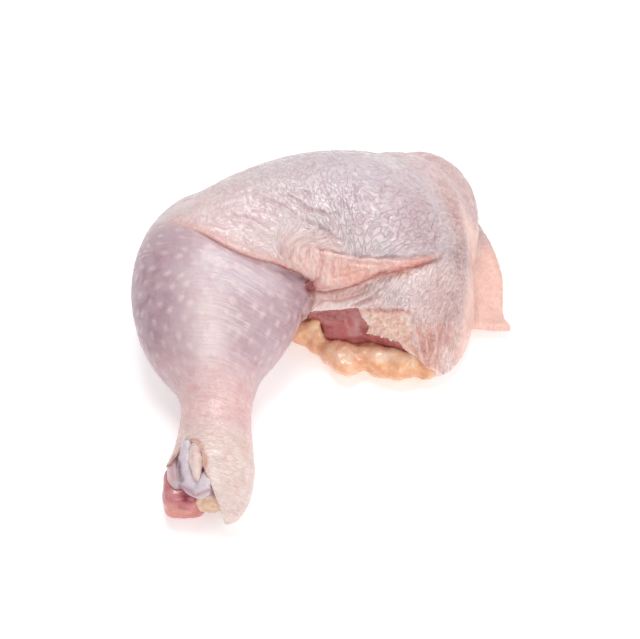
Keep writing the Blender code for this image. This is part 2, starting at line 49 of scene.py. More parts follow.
print("nodes:", ", ".join(sorted(nodes)))

# %% [markdown]
# ## The place of things
# The leg was drawn with its knee pit at the origin, and then moved so that the origin is under
# the middle of its box. Lines on the skin are easier to read as they were drawn, in millimetres,
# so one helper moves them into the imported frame.

# %% The drawing frame
DRAWING_ORIGIN = np.array((-1.36, 9.1, 0.0))


def drawn(points):
    """Points of the drawing, in mm, with any further columns left as they are."""
    rows = np.array(points, float)
    rows[:, :3] += DRAWING_ORIGIN
    return rows


print("the knee pit lies at", DRAWING_ORIGIN[:2], "mm in the packed frame")

# %% [markdown]
# ## Camera
# The photograph looks down on the table at a steep angle with a long lens. The object stays
# where it was packed, and the camera is turned round it.

# %% Camera
CAMERA_DISTANCE = 0.514
CAMERA_ELEVATION = math.radians(55)
LENS = 85
SENSOR_WIDTH = 36
AIM = Vector(DRAWING_ORIGIN * MM)

camera = bpy.data.objects.new("camera", bpy.data.cameras.new("camera"))
camera.data.lens = LENS
camera.data.sensor_width = SENSOR_WIDTH
away = Vector((0, -math.cos(CAMERA_ELEVATION), math.sin(CAMERA_ELEVATION)))
camera.location = AIM + CAMERA_DISTANCE * away
camera.rotation_euler = away.to_track_quat("Z", "Y").to_euler()
bpy.context.scene.collection.objects.link(camera)
bpy.context.scene.camera = camera
print("camera at", [round(v, 3) for v in camera.location])

# %% [markdown]
# ## Light and floor
# The photograph was taken in a white studio: the main light is broad and nearly overhead, a
# little behind the leg, so that a soft highlight runs down the middle of the drumstick. The
# tiny glints on the wet wrinkles come from small lamps that leave the rest of the light alone.
# The floor is white paper that glows faintly, so that only a soft shadow shows on it.

# %% Lights
scene = bpy.context.scene
scene.view_settings.view_transform = "Standard"
scene.view_settings.look = "None"

LAMPS = {
    "above": ((-0.02, 0.20, 0.66), 0.30, 2.2),
    "front": ((0.06, -0.50, 0.38), 0.40, 1.1),
    "side": ((0.50, -0.16, 0.36), 0.40, 0.5),
}
GLINT_PLACES = [(0.12, 0.46, 0.46), (0.02, 0.34, 0.56), (0.30, 0.20, 0.54)]
GLINT_SIZE = 0.08
GLINT_POWER = 0.14
STUDIO_STRENGTH = 0.42


def soft_lamp(name, place, size, power):
    lamp = bpy.data.objects.new(name, bpy.data.lights.new(name, "AREA"))
    lamp.data.shape = "DISK"
    lamp.data.size = size
    lamp.data.energy = power
    lamp.location = place
    lamp.rotation_euler = (Vector(place) - AIM).to_track_quat("Z", "Y").to_euler()
    scene.collection.objects.link(lamp)
    return lamp


for name, (place, size, power) in LAMPS.items():
    soft_lamp(name, place, size, power)
for place in GLINT_PLACES:
    glint = soft_lamp("glint", place, GLINT_SIZE, GLINT_POWER)
    glint.visible_diffuse = False

world = bpy.data.worlds.new("studio")
world.use_nodes = True
background = world.node_tree.nodes["Background"].inputs
background["Color"].default_value = (1, 1, 1, 1)
background["Strength"].default_value = STUDIO_STRENGTH
scene.world = world
print("lamps:", len(LAMPS), "and glints:", len(GLINT_PLACES))

# %% Floor
FLOOR_SIDE = 3.0
FLOOR_DROP = 0.0002
PAPER = {
    "Base Color": (0.93, 0.93, 0.93, 1),
    "Roughness": 0.9,
    "Emission Color": (1, 1, 1, 1),
    "Emission Strength": 0.3,
}
sheet = bmesh.new()
bmesh.ops.create_grid(sheet, x_segments=1, y_segments=1, size=FLOOR_SIDE / 2)
floor_mesh = bpy.data.meshes.new("floor")
sheet.to_mesh(floor_mesh)
sheet.free()
floor = bpy.data.objects.new("floor", floor_mesh)
floor.location.z = -FLOOR_DROP
scene.collection.objects.link(floor)

paper = bpy.data.materials.new("white paper")
paper.use_nodes = True
for key, value in PAPER.items():
    paper.node_tree.nodes["Principled BSDF"].inputs[key].default_value = value
floor_mesh.materials.append(paper)
print("floor:", FLOOR_SIDE, "m each way")

# %% [markdown]
# ## Tools for meshes
# The skin gets nearly a quarter of a million points, so whole columns of numbers are read,
# changed and written back at once.


# %% Reading and writing points
def points_of(mesh):
    """The points of a mesh, in mm."""
    column = np.empty(len(mesh.vertices) * 3, np.float32)
    mesh.vertices.foreach_get("co", column)
    return column.reshape(-1, 3) / MM


def normals_of(mesh):
    """The direction straight out of the surface at each point."""
    column = np.empty(len(mesh.vertices) * 3, np.float32)
    mesh.vertices.foreach_get("normal", column)
    return column.reshape(-1, 3).astype(float)


def place_points(mesh, points):
    """Moves the points of a mesh to these places, in mm."""
    mesh.vertices.foreach_set("co", (points * MM).astype(np.float32).ravel())
    mesh.update()


def keep(mesh, name, values):
    """Stores numbers, one row for each point, as an attribute of the mesh."""
    kind, key = ("FLOAT", "value") if values.ndim == 1 else ("FLOAT_VECTOR", "vector")
    layer = mesh.attributes.get(name) or mesh.attributes.new(name, kind, "POINT")
    layer.data.foreach_set(key, values.astype(np.float32).ravel())


print("corners in the packed skin:", len(points_of(nodes["skin"].data)))


# %% Soft steps
def step(low, high, values):
    """0 below low, 1 above high, and a smooth rise between."""
    t = np.clip((values - low) / (high - low), 0.0, 1.0)
    return t * t * (3 - 2 * t)


print("half way up a step from 0 to 2:", step(0, 2, 1.0))


# %% Smoothing
class Web:
    """Which points of a mesh are joined by an edge."""

    def __init__(self, mesh):
        ends = np.empty(len(mesh.edges) * 2, np.int32)
        mesh.edges.foreach_get("vertices", ends)
        a, b = ends.reshape(-1, 2).T
        self.count = len(mesh.vertices)
        self.here = np.concatenate([a, b])
        self.there = np.concatenate([b, a])
        self.degree = np.maximum(np.bincount(self.here, minlength=self.count), 1)

    def mean(self, values):
        """The mean of the neighbours of each point."""
        columns = values.reshape(self.count, -1)
        sums = [
            np.bincount(self.here, columns[self.there, k], self.count)
            for k in range(columns.shape[1])
        ]
        return (np.stack(sums, 1) / self.degree[:, None]).reshape(values.shape)

    def smooth(self, points, rounds, where=1.0, shrink=0.5, grow=0.52):
        """Evens out small bumps, without drawing the whole form in."""
        where = np.reshape(where * np.ones(self.count), (-1, 1))
        for _ in range(rounds):
            points = points + shrink * where * (self.mean(points) - points)
            points = points - grow * where * (self.mean(points) - points)
        return points

    def spread(self, mask, rounds):
        """A mask that has grown a few points outwards."""
        for _ in range(rounds):
            mask = np.maximum(mask, self.mean(mask))
        return mask


# %% Distance from a line
def nearest_on_line(points, route):
    """For each point: its distance and its offset from the line, and the line's row there."""
    rows = np.array(route, float)
    best = np.full(len(points), np.inf)
    offset = np.zeros_like(points)
    values = np.zeros((len(points), rows.shape[1] - 3))
    for a, b in zip(rows, rows[1:]):
        run = b[:3] - a[:3]
        t = np.clip((points - a[:3]) @ run / np.linalg.norm(run) ** 2, 0.0, 1.0)
        gap = points - (a[:3] + t[:, None] * run)
        distance = np.linalg.norm(gap, axis=1)
        closer = distance < best
        best = np.where(closer, distance, best)
        offset[closer] = gap[closer]
        values[closer] = (a[3:] + t[:, None] * (b[3:] - a[3:]))[closer]
    return best, offset, values


beside_line = nearest_on_line(np.array([(0.0, 3.0, 0.0)]), [(-1, 0, 0), (1, 0, 0)])
print("distance of a point 3 mm beside a line:", beside_line[0])

# %% [markdown]
# ## Tools for nodes
# Shader trees and geometry trees are built in the same way: a node is added, its settings made,
# and each of its inputs given either a number or the socket that feeds it.


# %% Building node trees
def feed(tree, sockets, values):
    """Links each input that is given a socket, and sets each that is given a number."""
    for key, value in dict(values).items():
        if isinstance(value, bpy.types.NodeSocket):
            tree.links.new(value, sockets[key])
        else:
            sockets[key].default_value = value


def add_node(tree, kind, inputs=(), **settings):
    """A new node. Its settings come first, because they decide which inputs it has."""
    made = tree.nodes.new(kind)
    for key, value in settings.items():
        setattr(made, key, value)
    feed(tree, made.inputs, inputs)
    return made


def calc(tree, operation, *values):
    """The result of one piece of arithmetic."""
    return add_node(tree, "ShaderNodeMath", enumerate(values), operation=operation).outputs[0]


def times(tree, a, b):
    return calc(tree, "MULTIPLY", a, b)


def ramp(tree, value, low, high, to_low=0.0, to_high=1.0):
    """A value spread smoothly from one range to another."""
    inputs = {"Value": value, 1: low, 2: high, 3: to_low, 4: to_high}
    settings = {"interpolation_type": "SMOOTHSTEP", "clamp": True}
    return add_node(tree, "ShaderNodeMapRange", inputs, **settings).outputs[0]


def stretched(tree, vector, scale):
    """A vector multiplied part by part."""
    inputs = {0: vector, 1: scale}
    return add_node(tree, "ShaderNodeVectorMath", inputs, operation="MULTIPLY").outputs[0]


def in_mm(tree, place):
    """A place that is given in metres, in mm."""
    return stretched(tree, place, (1 / MM,) * 3)


# %% New groups
SOCKETS = {float: "NodeSocketFloat", tuple: "NodeSocketVector"}


def new_tree(name, kind, inputs, outputs):
    """An empty node group with its sockets, its input node and its output node."""
    tree = bpy.data.node_groups.new(name, kind)
    for in_out, sockets in (("INPUT", inputs), ("OUTPUT", outputs)):
        for label, value in sockets.items():
            socket_type = value if isinstance(value, str) else SOCKETS[type(value)]
            socket = tree.interface.new_socket(label, in_out=in_out, socket_type=socket_type)
            if not isinstance(value, str):
                socket.default_value = value
    return tree, add_node(tree, "NodeGroupInput").outputs, add_node(tree, "NodeGroupOutput").inputs


# %% [markdown]
# ## The skin's form
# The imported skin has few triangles. A copy of it is merged and remeshed evenly and finely enough
# for wrinkles about two millimetres apart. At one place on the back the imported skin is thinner
# than a voxel, which would leave pinholes, so its outer side is first moved out a little there.


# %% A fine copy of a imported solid
MERGE_DISTANCE = 0.001


def merged_copy(name, node):
    """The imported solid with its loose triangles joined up."""
    mesh = bmesh.new()
    mesh.from_mesh(nodes[node].data)
    bmesh.ops.remove_doubles(mesh, verts=mesh.verts, dist=MM * MERGE_DISTANCE)
    data = bpy.data.meshes.new(name)
    mesh.to_mesh(data)
    mesh.free()
    obj = bpy.data.objects.new(name, data)
    scene.collection.objects.link(obj)
    return obj


def apply_modifiers(obj):
    """The object with what its modifiers make as its own plain mesh."""
    graph = bpy.context.evaluated_depsgraph_get()
    data = bpy.data.meshes.new_from_object(obj.evaluated_get(graph))
    obj.modifiers.clear()
    obj.data = data
    return obj


def remeshed(obj, voxel):
    """The object with an even mesh, about this many mm from point to point."""
    remesh = obj.modifiers.new("Fine", "REMESH")
    remesh.mode = "VOXEL"
    remesh.voxel_size = voxel * MM
    return apply_modifiers(obj)


# %% The skin remeshed
SKIN_VOXEL = 0.52
THIN_PLACE = (-41.0, 27.0, 22.0)
THIN_REACH = 12.0
THIN_SWELL = 0.7
THIN_SIDE = np.array((-0.7, 0.7, 0.0))
THIN_SLANT = 0.2


def thickened(obj):
    """The skin with its outer side moved outwards round its thin place."""
    points, normals = points_of(obj.data), normals_of(obj.data)
    gap = np.linalg.norm(points - drawn([THIN_PLACE])[0], axis=1)
    outer_side = normals @ THIN_SIDE > THIN_SLANT
    swell = THIN_SWELL * step(THIN_REACH, 0.4 * THIN_REACH, gap) * outer_side
    place_points(obj.data, points + swell[:, None] * normals)
    return obj


skin = remeshed(thickened(merged_copy("leg_skin", "skin")), SKIN_VOXEL)
web = Web(skin.data)
print("skin remeshed to", web.count, "points")

# %% [markdown]
# ## The two sides of the skin
# The skin is a closed shell. Its inner wall lies against the pieces inside, so a point that is
# far from all of them, or beyond the nearest one, belongs to the outer side. Where the two sides
# meet is the rim of an opening.

# %% Which side of the skin is which
INNER_PIECES = ["meat", "fat", "shin_bone", "tendon", "shank_stub", "ligament"]
OUTER_DEPTHS = (0.55, 1.15)
OUTER_REACHES = (0.4, 0.8)
RIM_ROUNDS = 6


def tree_of(names):
    """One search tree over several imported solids, in mm."""
    corners, faces = [], []
    for name in names:
        data = nodes[name].data
        faces += [[len(corners) + i for i in face.vertices] for face in data.polygons]
        corners += [vert.co / MM for vert in data.vertices]
    return BVHTree.FromPolygons(corners, faces)


start = points_of(skin.data)
inside_tree = tree_of(INNER_PIECES)
found = [inside_tree.find_nearest(Vector(point)) for point in start]
depth = np.array([hit[3] for hit in found])
beyond = ((start - np.array([hit[0] for hit in found])) * normals_of(skin.data)).sum(1)
outside = np.maximum(step(*OUTER_DEPTHS, depth), step(*OUTER_REACHES, beyond))
outside = web.mean(web.mean(outside))
rim = web.spread(4 * outside * (1 - outside), RIM_ROUNDS)
print("share of points on the outer side:", round(float((outside > 0.5).mean()), 2))

# %% [markdown]
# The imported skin's flat facets still show. They are smoothed away, with the thin edges of the
# openings held, since smoothing would eat them.

# %% Smooth the facets away
FORM_ROUNDS = 40
points = web.smooth(start, FORM_ROUNDS, where=1 - 0.9 * step(0.1, 0.6, rim))
place_points(skin.data, points)
print("moved at most", round(float(np.abs(points - start).max()), 2), "mm")

# %% [markdown]
# The wrinkles to come are nearly as deep as the skin is thick. Its hidden inner wall is moved
# further in, away from the rims, so that it can't break through at the bottom of a crease.

# %% Move the inner wall in
INNER_DROP = 1.0
hidden_wall = (1 - outside) * (1 - step(0.0, 0.2, rim))
points = points + INNER_DROP * hidden_wall[:, None] * normals_of(skin.data)
place_points(skin.data, points)
print("share of points moved in:", round(float((hidden_wall > 0.5).mean()), 2))

# %% [markdown]
# ## Creases
# The thigh's skin hangs over the drumstick and over itself. Each crease is a line on the skin:
# just above it the skin stands out as a roll, and just below it drops into a groove. The edge of
# the roll is also pulled down a little, so that it hangs over the groove and shades it.

# %% Crease lines: x, y, z, roll height and width, groove depth and width, overhang
CREASES = {
    "thigh over drumstick": [
        (-47.0, 6.8, 43.0, 0.0, 3.0, 0.0, 1.2, 0.0),
        (-41.1, 2.7, 46.5, 0.2, 3.0, 0.2, 1.0, 0.1),
        (-36.2, -0.5, 47.1, 0.4, 3.0, 0.4, 1.0, 0.2),
        (-28.8, -5.2, 46.4, 0.5, 3.0, 0.4, 1.0, 0.3),
        (-21.3, -7.5, 44.4, 0.6, 3.2, 0.5, 1.0, 0.4),
        (-14.0, -7.2, 41.0, 0.7, 3.2, 0.6, 1.1, 0.5),
        (-9.5, -6.9, 38.1, 0.8, 3.2, 0.9, 1.3, 0.6),
        (-6.2, -7.1, 36.8, 0.9, 3.2, 1.4, 1.6, 0.8),
        (-3.6, -8.2, 34.8, 0.8, 3.0, 2.2, 1.9, 0.8),
        (-2.9, -9.4, 32.6, 0.3, 2.6, 2.4, 2.0, 0.3),
    ],
    "under the lip": [
        (-2.7, -9.6, 31.9, 0.4, 3.0, 1.6, 1.4, 0.5),
        (1.6, -10.1, 31.5, 0.7, 3.6, 1.2, 1.0, 0.5),
        (6.4, -10.1, 33.0, 0.7, 3.4, 1.0, 0.9, 0.5),
        (12.7, -9.8, 35.3, 0.7, 3.0, 0.9, 0.9, 0.4),
        (19.0, -8.4, 38.2, 0.8, 2.4, 1.0, 1.0, 0.4),
        (25.3, -7.5, 39.2, 0.7, 2.0, 1.0, 1.0, 0.4),
        (31.7, -5.5, 39.0, 0.5, 1.8, 0.8, 1.0, 0.3),
        (37.7, -1.6, 37.1, 0.2, 1.6, 0.3, 1.0, 0.1),
        (42.0, 2.0, 34.5, 0.0, 1.6, 0.0, 1.2, 0.0),
    ],
    "first inner fold": [
        (-2.4, -10.7, 27.9, 1.2, 1.9, 0.35, 0.8, 0.4),
        (2.0, -10.9, 28.3, 1.3, 1.9, 0.35, 0.8, 0.4),
        (7.6, -11.1, 29.6, 1.2, 1.9, 0.35, 0.8, 0.3),
        (12.2, -10.5, 32.6, 0.7, 1.7, 0.3, 0.8, 0.2),
        (15.8, -9.9, 34.9, 0.0, 1.6, 0.0, 1.0, 0.0),
    ],
    "second inner fold": [
        (-1.4, -11.5, 24.6, 1.0, 1.8, 0.35, 0.8, 0.3),
        (2.0, -11.8, 26.8, 1.0, 1.8, 0.35, 0.8, 0.3),
        (6.4, -12.1, 28.0, 0.8, 1.8, 0.3, 0.8, 0.3),
        (12.7, -11.9, 31.0, 0.5, 1.6, 0.3, 0.8, 0.2),
        (17.4, -11.2, 33.8, 0.0, 1.6, 0.0, 1.0, 0.0),
    ],
}
CREASE_UP = np.array((0.0, 0.57, 0.82))
print("creases:", {name: len(route) for name, route in CREASES.items()})

# %% Carving a crease
MOST_LIFT = 2.5
FULL_GROOVE = 1.15
GROOVE_REACH = 1.1
FOLD_REACH = 3.0


def carve(points, normals, route, wobble):
    """The points with one crease cut in, and two masks: in the groove, and near the crease."""
    distance, offset, row = nearest_on_line(points, drawn(route))
    lift = np.clip((offset * normals).sum(1), -MOST_LIFT, MOST_LIFT)
    distance = np.sqrt(np.maximum(distance**2 - lift**2, 0))
    roll, roll_width, groove, groove_width, overhang = row.T
    side = np.where(offset @ CREASE_UP > 0, 1.0, -1.0)
    above = np.where(side > 0, distance / roll_width, 2.0)
    below = np.where(side < 0, distance / groove_width, 2.0)
    rise = step(0.0, 0.18, above) * np.clip(1 - above**2, 0, None) ** 2
    sink = np.clip(1 - below**2, 0, None) ** 2
    hang = np.clip(1 - 1.6 * above, 0, None) ** 2
    level = roll * (1 + 0.35 * wobble) * rise - groove * sink
    moved = points + normals * level[:, None] - CREASE_UP * (overhang * hang)[:, None]
    strength = np.minimum(groove / FULL_GROOVE, 1.0)
    in_groove = strength * np.exp(-((distance / GROOVE_REACH) ** 2))
    return moved, in_groove, strength * np.exp(-((distance / FOLD_REACH) ** 2))


def noise_of(points, size, seed=0.0):
    """Smooth noise from -1 to 1 that changes over about this many mm."""
    shift = Vector((seed, -seed, 2 * seed))
    return np.array([noise.noise(Vector(p) / size + shift) for p in points])


normals = normals_of(skin.data)
wobble = noise_of(points, 4.0, seed=3.0)
crease_shade, folded = np.zeros(web.count), np.zeros(web.count)
for route in CREASES.values():
    points, in_groove, near = carve(points, normals * outside[:, None], route, wobble)
    crease_shade = np.maximum(crease_shade, in_groove)
    folded = np.maximum(folded, near * outside)
place_points(skin.data, points)
print("share of points near a crease:", round(float((folded > 0.5).mean()), 3))

# %% [markdown]
# ## The photograph's plane
# Many wrinkles and patches of colour are known only from the photograph. They are drawn as they
# appear in it, in millimetres across and up from the middle of the picture, and every point of
# the skin is looked up there by perspective. Points that face away are left alone.

# %% Where a point appears
FACING = np.array(away)
UP = np.array((0, math.sin(CAMERA_ELEVATION), math.cos(CAMERA_ELEVATION)))


def seen(points):
    """Across and up, in mm, on the plane through the aim that faces the camera."""
    gap = points - DRAWING_ORIGIN
    nearer = CAMERA_DISTANCE / MM / (CAMERA_DISTANCE / MM - gap @ FACING)
    return np.stack([gap[:, 0] * nearer, gap @ UP * nearer, 0 * nearer], 1)


def pulled(points, pulls):
    """The points moved: where it is seen, how far round, then how far across, up and nearer."""
    flat = seen(points)[:, :2]
    moved = points.copy()
    for where, reach, (right, rise, nearer) in pulls:
        weight = np.exp(-(((flat - where) / reach) ** 2).sum(1))
        moved += weight[:, None] * (np.array((right, 0, 0)) + rise * UP + nearer * FACING)
    return moved


def shaken(flat, points, size, reach):
    """The same places, moved a little at random, so that drawn lines don't look ruled."""
    drift = [noise_of(points, size, 11.0), noise_of(points, size, 17.0), 0 * flat[:, 0]]
    return flat + reach * np.stack(drift, 1)


# %% Areas, dabs and lines
class Canvas:
    """A mesh seen in the photograph's plane, where outlines and dabs are drawn on it."""

    def __init__(self, points, normals):
        self.points = points
        self.flat = seen(points)
        self.across, self.up = self.flat[:, 0], self.flat[:, 1]
        self.facing = step(0.12, 0.4, normals @ FACING)
        self.drawing = shaken(self.flat, points, 3.0, 0.6)

    def area(self, outline, soft):
        """A mask of what lies inside an outline."""
        place = self.drawing[:, :2]
        nearest = np.full(len(place), np.inf)
        inside = np.zeros(len(place), bool)
        for a, b in zip(np.array(outline, float), np.roll(np.array(outline, float), -1, 0)):
            run = b - a
            t = np.clip((place - a) @ run / (run @ run), 0, 1)
            nearest = np.minimum(nearest, np.linalg.norm(place - a - t[:, None] * run, axis=1))
            if a[1] != b[1]:
                spans = (a[1] > place[:, 1]) != (b[1] > place[:, 1])
                inside ^= spans & (place[:, 0] < a[0] + (place[:, 1] - a[1]) * run[0] / run[1])
        return step(-soft, soft, np.where(inside, nearest, -nearest)) * self.facing

    def dab(self, where, radius_across, radius_up):
        """A soft round patch."""
        gap_across = (self.across - where[0]) / radius_across
        gap_up = (self.up - where[1]) / radius_up
        return np.exp(-(gap_across**2 + gap_up**2)) * self.facing

    def line(self, route, width):
        """A soft stroke."""
        rows = [(x, y, 0) for x, y in route]
        return np.exp(-((nearest_on_line(self.drawing, rows)[0] / width) ** 2)) * self.facing


skin_view = Canvas(points, normals)
skin_view.facing = np.maximum(skin_view.facing, folded)
across, up, facing = skin_view.across, skin_view.up, skin_view.facing
area, dab, line, drawing = skin_view.area, skin_view.dab, skin_view.line, skin_view.drawing
print("share of the skin that faces the camera:", round(float((facing > 0.5).mean()), 2))

# %% [markdown]
# ## Regions of the skin
# Form, texture and colour change from place to place: the drumstick is tight, mauve and dotted,
# the thigh is loose and netted with wrinkles, the flap is smooth and peach. Each region is a soft
# mask, from 0 to 1, worked out from where a point lies. A border that bends is a short line, read
# off at each point as from a graph.

# %% The drumstick, its neck and its ankle
EDGE_START = [(-62, 16), (-54, 11)]
EDGE_WIDTH = [(-60, 7.0), (-45, 4.0), (-36, 0.35)]
DRUM_SIDE = [(-6, -9.4), (0.5, -6.8), (3.9, -4.8), (8.3, -3.4), (12, -3.6), (14, -3.0)]
PIT_TOP = 14
PIT_SIDE = -3.2
NECK_FROM_TO = (-30, -46)
ANKLE_FROM_TO = (-50, -60)


def read_off(values, line):
    """The second number of a line of pairs where its first number has these values."""
    return np.interp(values, *np.array(line, float).T)


x, y, z = (points - DRAWING_ORIGIN).T
over_drum = np.array(CREASES["thigh over drumstick"])
over_seen = seen(drawn(over_drum)[:, :3])
edge_gap_y = read_off(x, [*EDGE_START, *over_drum[:, :2]]) - y
edge_gap_up = read_off(across, over_seen[:, :2]) - up
as_seen = facing * step(-46, -38, across)
edge_gap = as_seen * edge_gap_up + (1 - as_seen) * edge_gap_y
beside_pit = step(0.4, -0.4, across - read_off(up, DRUM_SIDE))
left_of_pit = np.where((facing > 0.02) & (up < PIT_TOP), beside_pit, x < PIT_SIDE)
drum = step(-1, 1, edge_gap / read_off(x, EDGE_WIDTH)) * left_of_pit
neck = step(*NECK_FROM_TO, y) * drum
ankle = step(*ANKLE_FROM_TO, y) * drum
print("share of the drumstick:", round(float(drum.mean()), 3))

# %% Under the lip, the flap and the shoulder
LIP_OVERHANG = 0.9
LIP_SOFTNESS = [(30, 0.3), (40, 1.5), (50, 9.0)]
FLAP_FROM_TO = (48.0, 51.5)
FLAP_BACK = (36, 24)
SHOULDER_LINE = [(20, 49), (26, 47), (35, 44), (45, 38), (52, 32), (60, 24)]
SHOULDER_SOFTNESS = 3.5

under_lip = seen(drawn(np.array(CREASES["under the lip"]))[:, :3])
lip_edge_up = read_off(across, under_lip[:, :2]) - LIP_OVERHANG
lower = step(-1, 1, (lip_edge_up - up) / read_off(across, LIP_SOFTNESS))
lower *= np.maximum(step(-0.25, 0.1, normals @ FACING), folded)
lower *= 1 - left_of_pit
flap = step(*FLAP_FROM_TO, x + 0.15 * np.abs(y - 10)) * step(*FLAP_BACK, y)
past_shoulder = across - read_off(up, SHOULDER_LINE)
shoulder = step(-SHOULDER_SOFTNESS, SHOULDER_SOFTNESS, past_shoulder) * (1 - flap) * (1 - lower)
for name, mask in {"lower": lower, "flap": flap, "shoulder": shoulder}.items():
    print("share of", name, round(float(mask.mean()), 3))

# %% The torn patch, the pleats and the lip
PLEATED = [(-12, 27), (-7, 28.5), (4, 27), (9, 20), (8.5, 12), (-3, 10), (-7, 15), (-12, 17.5)]
TORN = [
    (12.2, 1.9), (15, 2.9), (18, 2.0), (21, 3.0), (24.5, 1.8), (28, 2.9), (31.6, 2.0), (30.2, -0.6),
    (31.8, -3.2), (30.0, -5.6), (31.6, -8.4), (30.6, -12), (28.9, -11), (26.5, -9.4), (26.2, -8),
    (22.1, -7.3), (16, -6.3), (13.6, -1.2),
]
LIP = [
    (0, 23), (10, 21.3), (27, 21), (40, 22.3), (34, 19), (27, 17.3), (20, 16), (13.5, 13),
    (7, 11.4), (-3, 10.5),
]
torn = area(TORN, 0.8)
pleated = area(PLEATED, 4.5) * (1 - drum) * (1 - lower)
lip = area(LIP, 0.7) * (1 - lower) * step(-6, 9, across)
for name, mask in {"torn": torn, "pleated": pleated, "lip": lip}.items():
    print("share of", name, round(float(mask.mean()), 3))

# %% [markdown]
# ## Furrows
# The thigh's skin is gathered towards the knee, so long furrows run down to the lip from above,
# and deep pleats stand over the crease. Each furrow is a groove with raised shoulders. A depth
# below zero makes a ridge instead, as along the border of the torn patch.

# %% Furrow lines on the photograph's plane: depth, width, then across and up
FURROWS = {
    "over the thigh": [
        (0.7, 1.3, (-24, 44), (-21, 42), (-17.5, 40.5), (-13.5, 39), (-10, 37), (-7, 34.5)),
        (0.8, 1.4, (-7, 34.5), (-3.5, 33), (1, 31), (3.5, 29), (6, 27)),
        (0.8, 1.3, (-13, 44), (-10, 41.5), (-7.5, 40), (-5, 38.5), (-2.5, 37), (0, 36.5), (3, 34.5)),
        (0.5, 1.2, (-9.5, 44.5), (-6, 43.5), (-4, 42.5), (-2.5, 40)),
        (0.6, 1.3, (0, 47), (1.5, 44), (3, 41.5), (4.5, 38)),
        (0.4, 1.1, (3.5, 51), (6, 47)),
        (0.4, 1.1, (8, 49), (8.5, 44)),
        (0.7, 1.4, (6.5, 41), (8.5, 38.5), (9.5, 35)),
        (0.6, 1.3, (12, 49.5), (12.5, 44.5), (13, 40.5), (14, 36)),
        (0.6, 1.2, (23, 48), (21.5, 43.5), (20.5, 38.5)),
        (0.5, 1.1, (24.5, 39.5), (22, 37)),
        (0.7, 1.2, (5, 36.5), (7.5, 33)),
        (0.5, 1.1, (16.5, 39.5), (14.5, 36)),
        (0.6, 1.2, (40, 38), (39, 33), (36.5, 27.5)),
        (0.5, 1.1, (37.5, 38.5), (36.5, 33)),
        (0.7, 1.2, (42, 33), (39.5, 28.5), (38.5, 24.5)),
        (0.5, 1.1, (35.5, 31), (34, 27)),
        (0.5, 1.2, (-33, 38), (-28, 35), (-23, 34), (-18, 31)),
        (0.4, 1.2, (-40, 34), (-34, 32), (-28, 31.5)),
    ],
    "above the lip": [
        (0.6, 1.2, (-2.5, 24.6), (0, 23.6), (3.4, 23), (6.8, 22.3), (10.2, 21.9), (13.6, 21.6)),
        (0.5, 1.1, (13.6, 21.6), (20, 20.9), (27.2, 20.8), (34, 21.4), (39.5, 22.5)),
    ],
    "on the lip": [
        (0.6, 1.2, (10, 19.6), (16, 18.4), (22, 18.8), (30, 19.8)),
        (0.6, 1.1, (4, 14), (9, 14.6), (14, 16.6), (19.5, 18)),
        (0.5, 1.1, (9, 13.2), (12.5, 14.8), (16, 16.2)),
        (0.4, 1.1, (12, 20.6), (9.5, 17.6), (8.4, 15.6)),
    ],
    "pleats": [
        (0.9, 1.2, (-9.4, 25), (-10.2, 20.6), (-9.9, 16.4)),
        (0.9, 1.2, (-4.2, 25), (-4.4, 20.2), (-5.5, 16.8)),
        (0.5, 1.1, (0.6, 23.5), (0.3, 19.6), (-0.5, 15.1), (-1.2, 12.6)),
        (0.8, 1.1, (4.7, 22), (4.0, 17.5), (3.3, 12.6)),
        (0.6, 1.1, (-7.2, 23.6), (-7.0, 20.5), (-7.8, 18)),
        (0.5, 1.0, (-1.7, 22), (-2.4, 18.4), (-2.8, 15)),
        (0.4, 1.0, (2.4, 20.4), (1.8, 17.4), (1.6, 14.6)),
        (0.5, 1.1, (7.0, 20.6), (6.6, 16.5), (5.6, 13.4)),
        (0.6, 1.5, (-13.5, 26), (-13.2, 22), (-12.6, 19.5)),
        (0.5, 1.6, (-17, 27.5), (-16.5, 23)),
        (0.5, 1.5, (-21, 28.5), (-20, 23.8)),
        (0.4, 1.4, (-25, 29.5), (-24, 25.5)),
        (0.4, 1.4, (-29, 31.5), (-28, 28)),
    ],
    "under the lip": [
        (0.5, 1.1, (24, 14.5), (22, 12), (19.5, 10), (16.5, 6.5), (11, 4.5)),
        (0.4, 1.1, (26.5, 14), (25.5, 10), (23, 5.5)),
        (0.6, 1.1, (10.9, 4.6), (13.6, 5.6), (17, 6.6), (20.4, 8.3)),
        (0.5, 1.0, (15, 3.4), (19, 3.4), (22.5, 2.8), (27, 3), (30.5, 2.6)),
        (1.1, 1.5, (34, -4), (35, -11), (36, -15.5)),
        (1.1, 1.5, (38, -4.5), (37.5, -8.5), (37, -15.5)),
        (0.9, 1.3, (41.5, -3.5), (40.5, -10.5), (38.5, -16)),
        (0.8, 1.3, (45, 1), (43.5, -6.5), (41, -13)),
        (0.6, 1.3, (47, 0.5), (46, -7)),
        (0.6, 1.3, (38, 11), (35.5, 6.5), (34, 3)),
        (0.6, 1.3, (43, 11), (40, 6.5)),
        (0.5, 1.2, (47, 12), (45, 7)),
        (0.5, 1.2, (33, 13), (30, 8.5)),
    ],
    "round the torn patch": [
        (-0.6, 1.3, (12.6, 1.6), (13.9, -1.2), (16.2, -5.6), (22.0, -6.8), (26.4, -7.6), (27.2, -9.2)),
        (0.6, 1.1, (31.6, 1.4), (30.9, -1.9), (30.4, -5.3), (31.2, -11)),
    ],
    "beside the drumstick": [
        (1.6, 2.2, (-3.6, 12.5), (-3.2, 8.3), (-4.5, 3.9), (-6.2, 1.2)),
    ],
    "round the neck": [
        (0.4, 1.3, (-27, -12.5), (-22.5, -14), (-18, -16.5)),
        (0.3, 1.1, (-24, -24), (-22, -26)),
    ],
}
